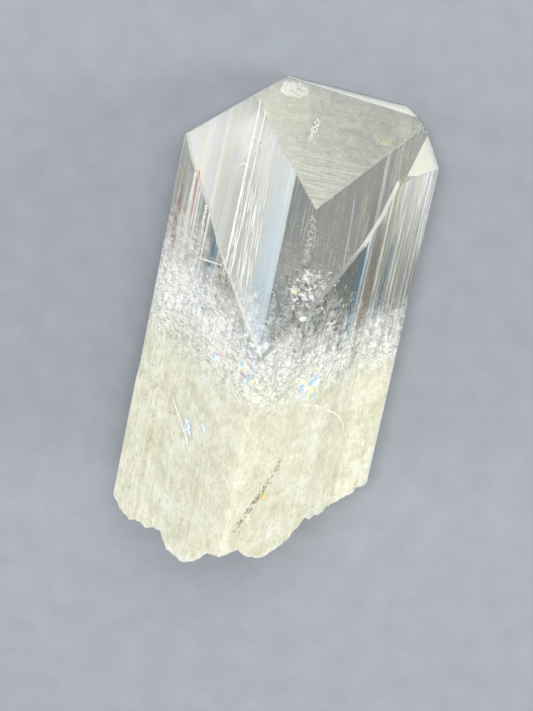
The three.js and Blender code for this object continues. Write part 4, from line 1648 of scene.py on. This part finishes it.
class InclusionSettings(bpy.types.PropertyGroup):
    amount: bpy.props.FloatProperty(
        name="Amount", description="How many grains and needles there are, 1 being usual",
        default=1.0, min=0.01, max=2.0, subtype="FACTOR")
    white_colour: bpy.props.FloatVectorProperty(
        name="White colour", description="Colour of the pale needles and surface cracks",
        default=linear("#fdfdf8")[:3], **COLOUR)
    blue_colour: bpy.props.FloatVectorProperty(
        name="Blue colour", description="Colour of the bluish needles",
        default=linear("#acc9e2")[:3], **COLOUR)
    stain_colour: bpy.props.FloatVectorProperty(
        name="Stain colour", description="Colour of the iron stains",
        default=linear("#a08548")[:3], **COLOUR)
    orange_colour: bpy.props.FloatVectorProperty(
        name="Orange colour", description="Colour of the orange spots",
        default=linear("#f2c64a")[:3], **COLOUR)


class StageSettings(bpy.types.PropertyGroup):
    floor_colour: bpy.props.FloatVectorProperty(
        name="Floor colour", description="Colour of the paper under the crystal",
        default=linear("#989ca3")[:3], **COLOUR)
    softbox_brightness: bpy.props.FloatProperty(
        name="Softboxes", description="Brightness of the softboxes, 1 being usual",
        default=1.2, min=0.0, max=10.0, subtype="FACTOR")
    room_brightness: bpy.props.FloatProperty(
        name="Room", description="Brightness of the room around the stage",
        default=0.9, min=0.0, max=10.0, subtype="FACTOR")


class DANBURITE_OT_skin(bpy.types.Operator):
    """Grow the crystal's striated prism with its faceted tip and broken foot"""

    bl_idname = "danburite.skin"
    bl_label = "Grow the crystal"

    def execute(self, context):
        build_skin(context.scene.danburite_skin)
        return {"FINISHED"}


class DANBURITE_OT_fractures(bpy.types.Operator):
    """Fill the crystal with its crackle, veils, milky cloud and interference colours"""

    bl_idname = "danburite.fractures"
    bl_label = "Add inner fractures"

    def execute(self, context):
        settings = context.scene.danburite_fractures
        build_core(milky_material((*settings.crack_colour, 1.0)))
        build_flakes(FRACTURES, fracture_material(settings), settings, FIRST_CRACK_SEED)
        build_flakes(FLASHES, flash_material(), settings, FIRST_FLASH_SEED)
        return {"FINISHED"}


class DANBURITE_OT_inclusions(bpy.types.Operator):
    """Add the crystal's needles, bubbles, surface cracks and iron stains"""

    bl_idname = "danburite.inclusions"
    bl_label = "Add inclusions and stains"

    def execute(self, context):
        settings = context.scene.danburite_inclusions
        white = (*settings.white_colour, 1.0)
        blue = (*settings.blue_colour, 1.0)
        stain = (*settings.stain_colour, 1.0)
        dark_stain = (*[part * STAIN_DARKENING for part in settings.stain_colour], 1.0)
        orange = (*settings.orange_colour, 1.0)
        inclusions = [
            ("Fluid veil", linear("#ecebdc"), white, 0.5, {
                "white_needles": WHITE_LINES, "bubbles": BUBBLES,
                "surface_cracks": WHITE_CRACKS}),
            ("Bluish veil", blue, white, 0.5, {"blue_needles": BLUE_LINES}),
            ("Red iron film", linear("#b8452e"), linear("#d9785a"), 0.5, {
                "red_needles": RED_LINES}),
            ("Iron oxide", dark_stain, stain, 0.7, {"iron_stains": IRON_STAINS}),
            ("Limonite", orange, linear("#f6e08a"), 0.6, {"orange_spots": ORANGE_SPOTS}),
            ("Straw stain", linear("#dcdba6"), linear("#e8e7bd"), 0.6, {
                "straw_stains": STRAW_STAINS}),
        ]
        for name, low_colour, high_colour, roughness, pieces in inclusions:
            material = inclusion_material(name, low_colour, high_colour, roughness)
            for piece_name, trails in pieces.items():
                build_trails(trails, material, piece_name, settings)
        return {"FINISHED"}


class DANBURITE_OT_stage(bpy.types.Operator):
    """Set up the paper, the soft lights and the camera"""

    bl_idname = "danburite.stage"
    bl_label = "Set up the stage"

    def execute(self, context):
        build_stage(context.scene.danburite_stage)
        return {"FINISHED"}


OPERATORS = {
    DANBURITE_OT_skin: "danburite_skin",
    DANBURITE_OT_fractures: "danburite_fractures",
    DANBURITE_OT_inclusions: "danburite_inclusions",
    DANBURITE_OT_stage: "danburite_stage",
}
SETTINGS = {
    "danburite_skin": SkinSettings,
    "danburite_fractures": FractureSettings,
    "danburite_inclusions": InclusionSettings,
    "danburite_stage": StageSettings,
}


class DANBURITE_PT_panel(bpy.types.Panel):
    bl_idname = "DANBURITE_PT_panel"
    bl_label = "Danburite crystal"
    bl_space_type = "VIEW_3D"
    bl_region_type = "UI"
    bl_category = "Danburite"

    def draw(self, context):
        for operator, settings_name in OPERATORS.items():
            column = self.layout.column(align=True)
            settings = getattr(context.scene, settings_name)
            for name in SETTINGS[settings_name].__annotations__:
                column.prop(settings, name)
            column.operator(operator.bl_idname)


def register():
    for settings_class in SETTINGS.values():
        bpy.utils.register_class(settings_class)
    for name, settings_class in SETTINGS.items():
        setattr(bpy.types.Scene, name, bpy.props.PointerProperty(type=settings_class))
    for operator in OPERATORS:
        bpy.utils.register_class(operator)
    bpy.utils.register_class(DANBURITE_PT_panel)


def unregister():
    bpy.utils.unregister_class(DANBURITE_PT_panel)
    for operator in OPERATORS:
        bpy.utils.unregister_class(operator)
    for name, settings_class in SETTINGS.items():
        delattr(bpy.types.Scene, name)
        bpy.utils.unregister_class(settings_class)


def main():
    register()
    bpy.ops.danburite.skin()
    bpy.ops.danburite.fractures()
    bpy.ops.danburite.inclusions()
    bpy.ops.danburite.stage()


if __name__ == "__main__":
    main()
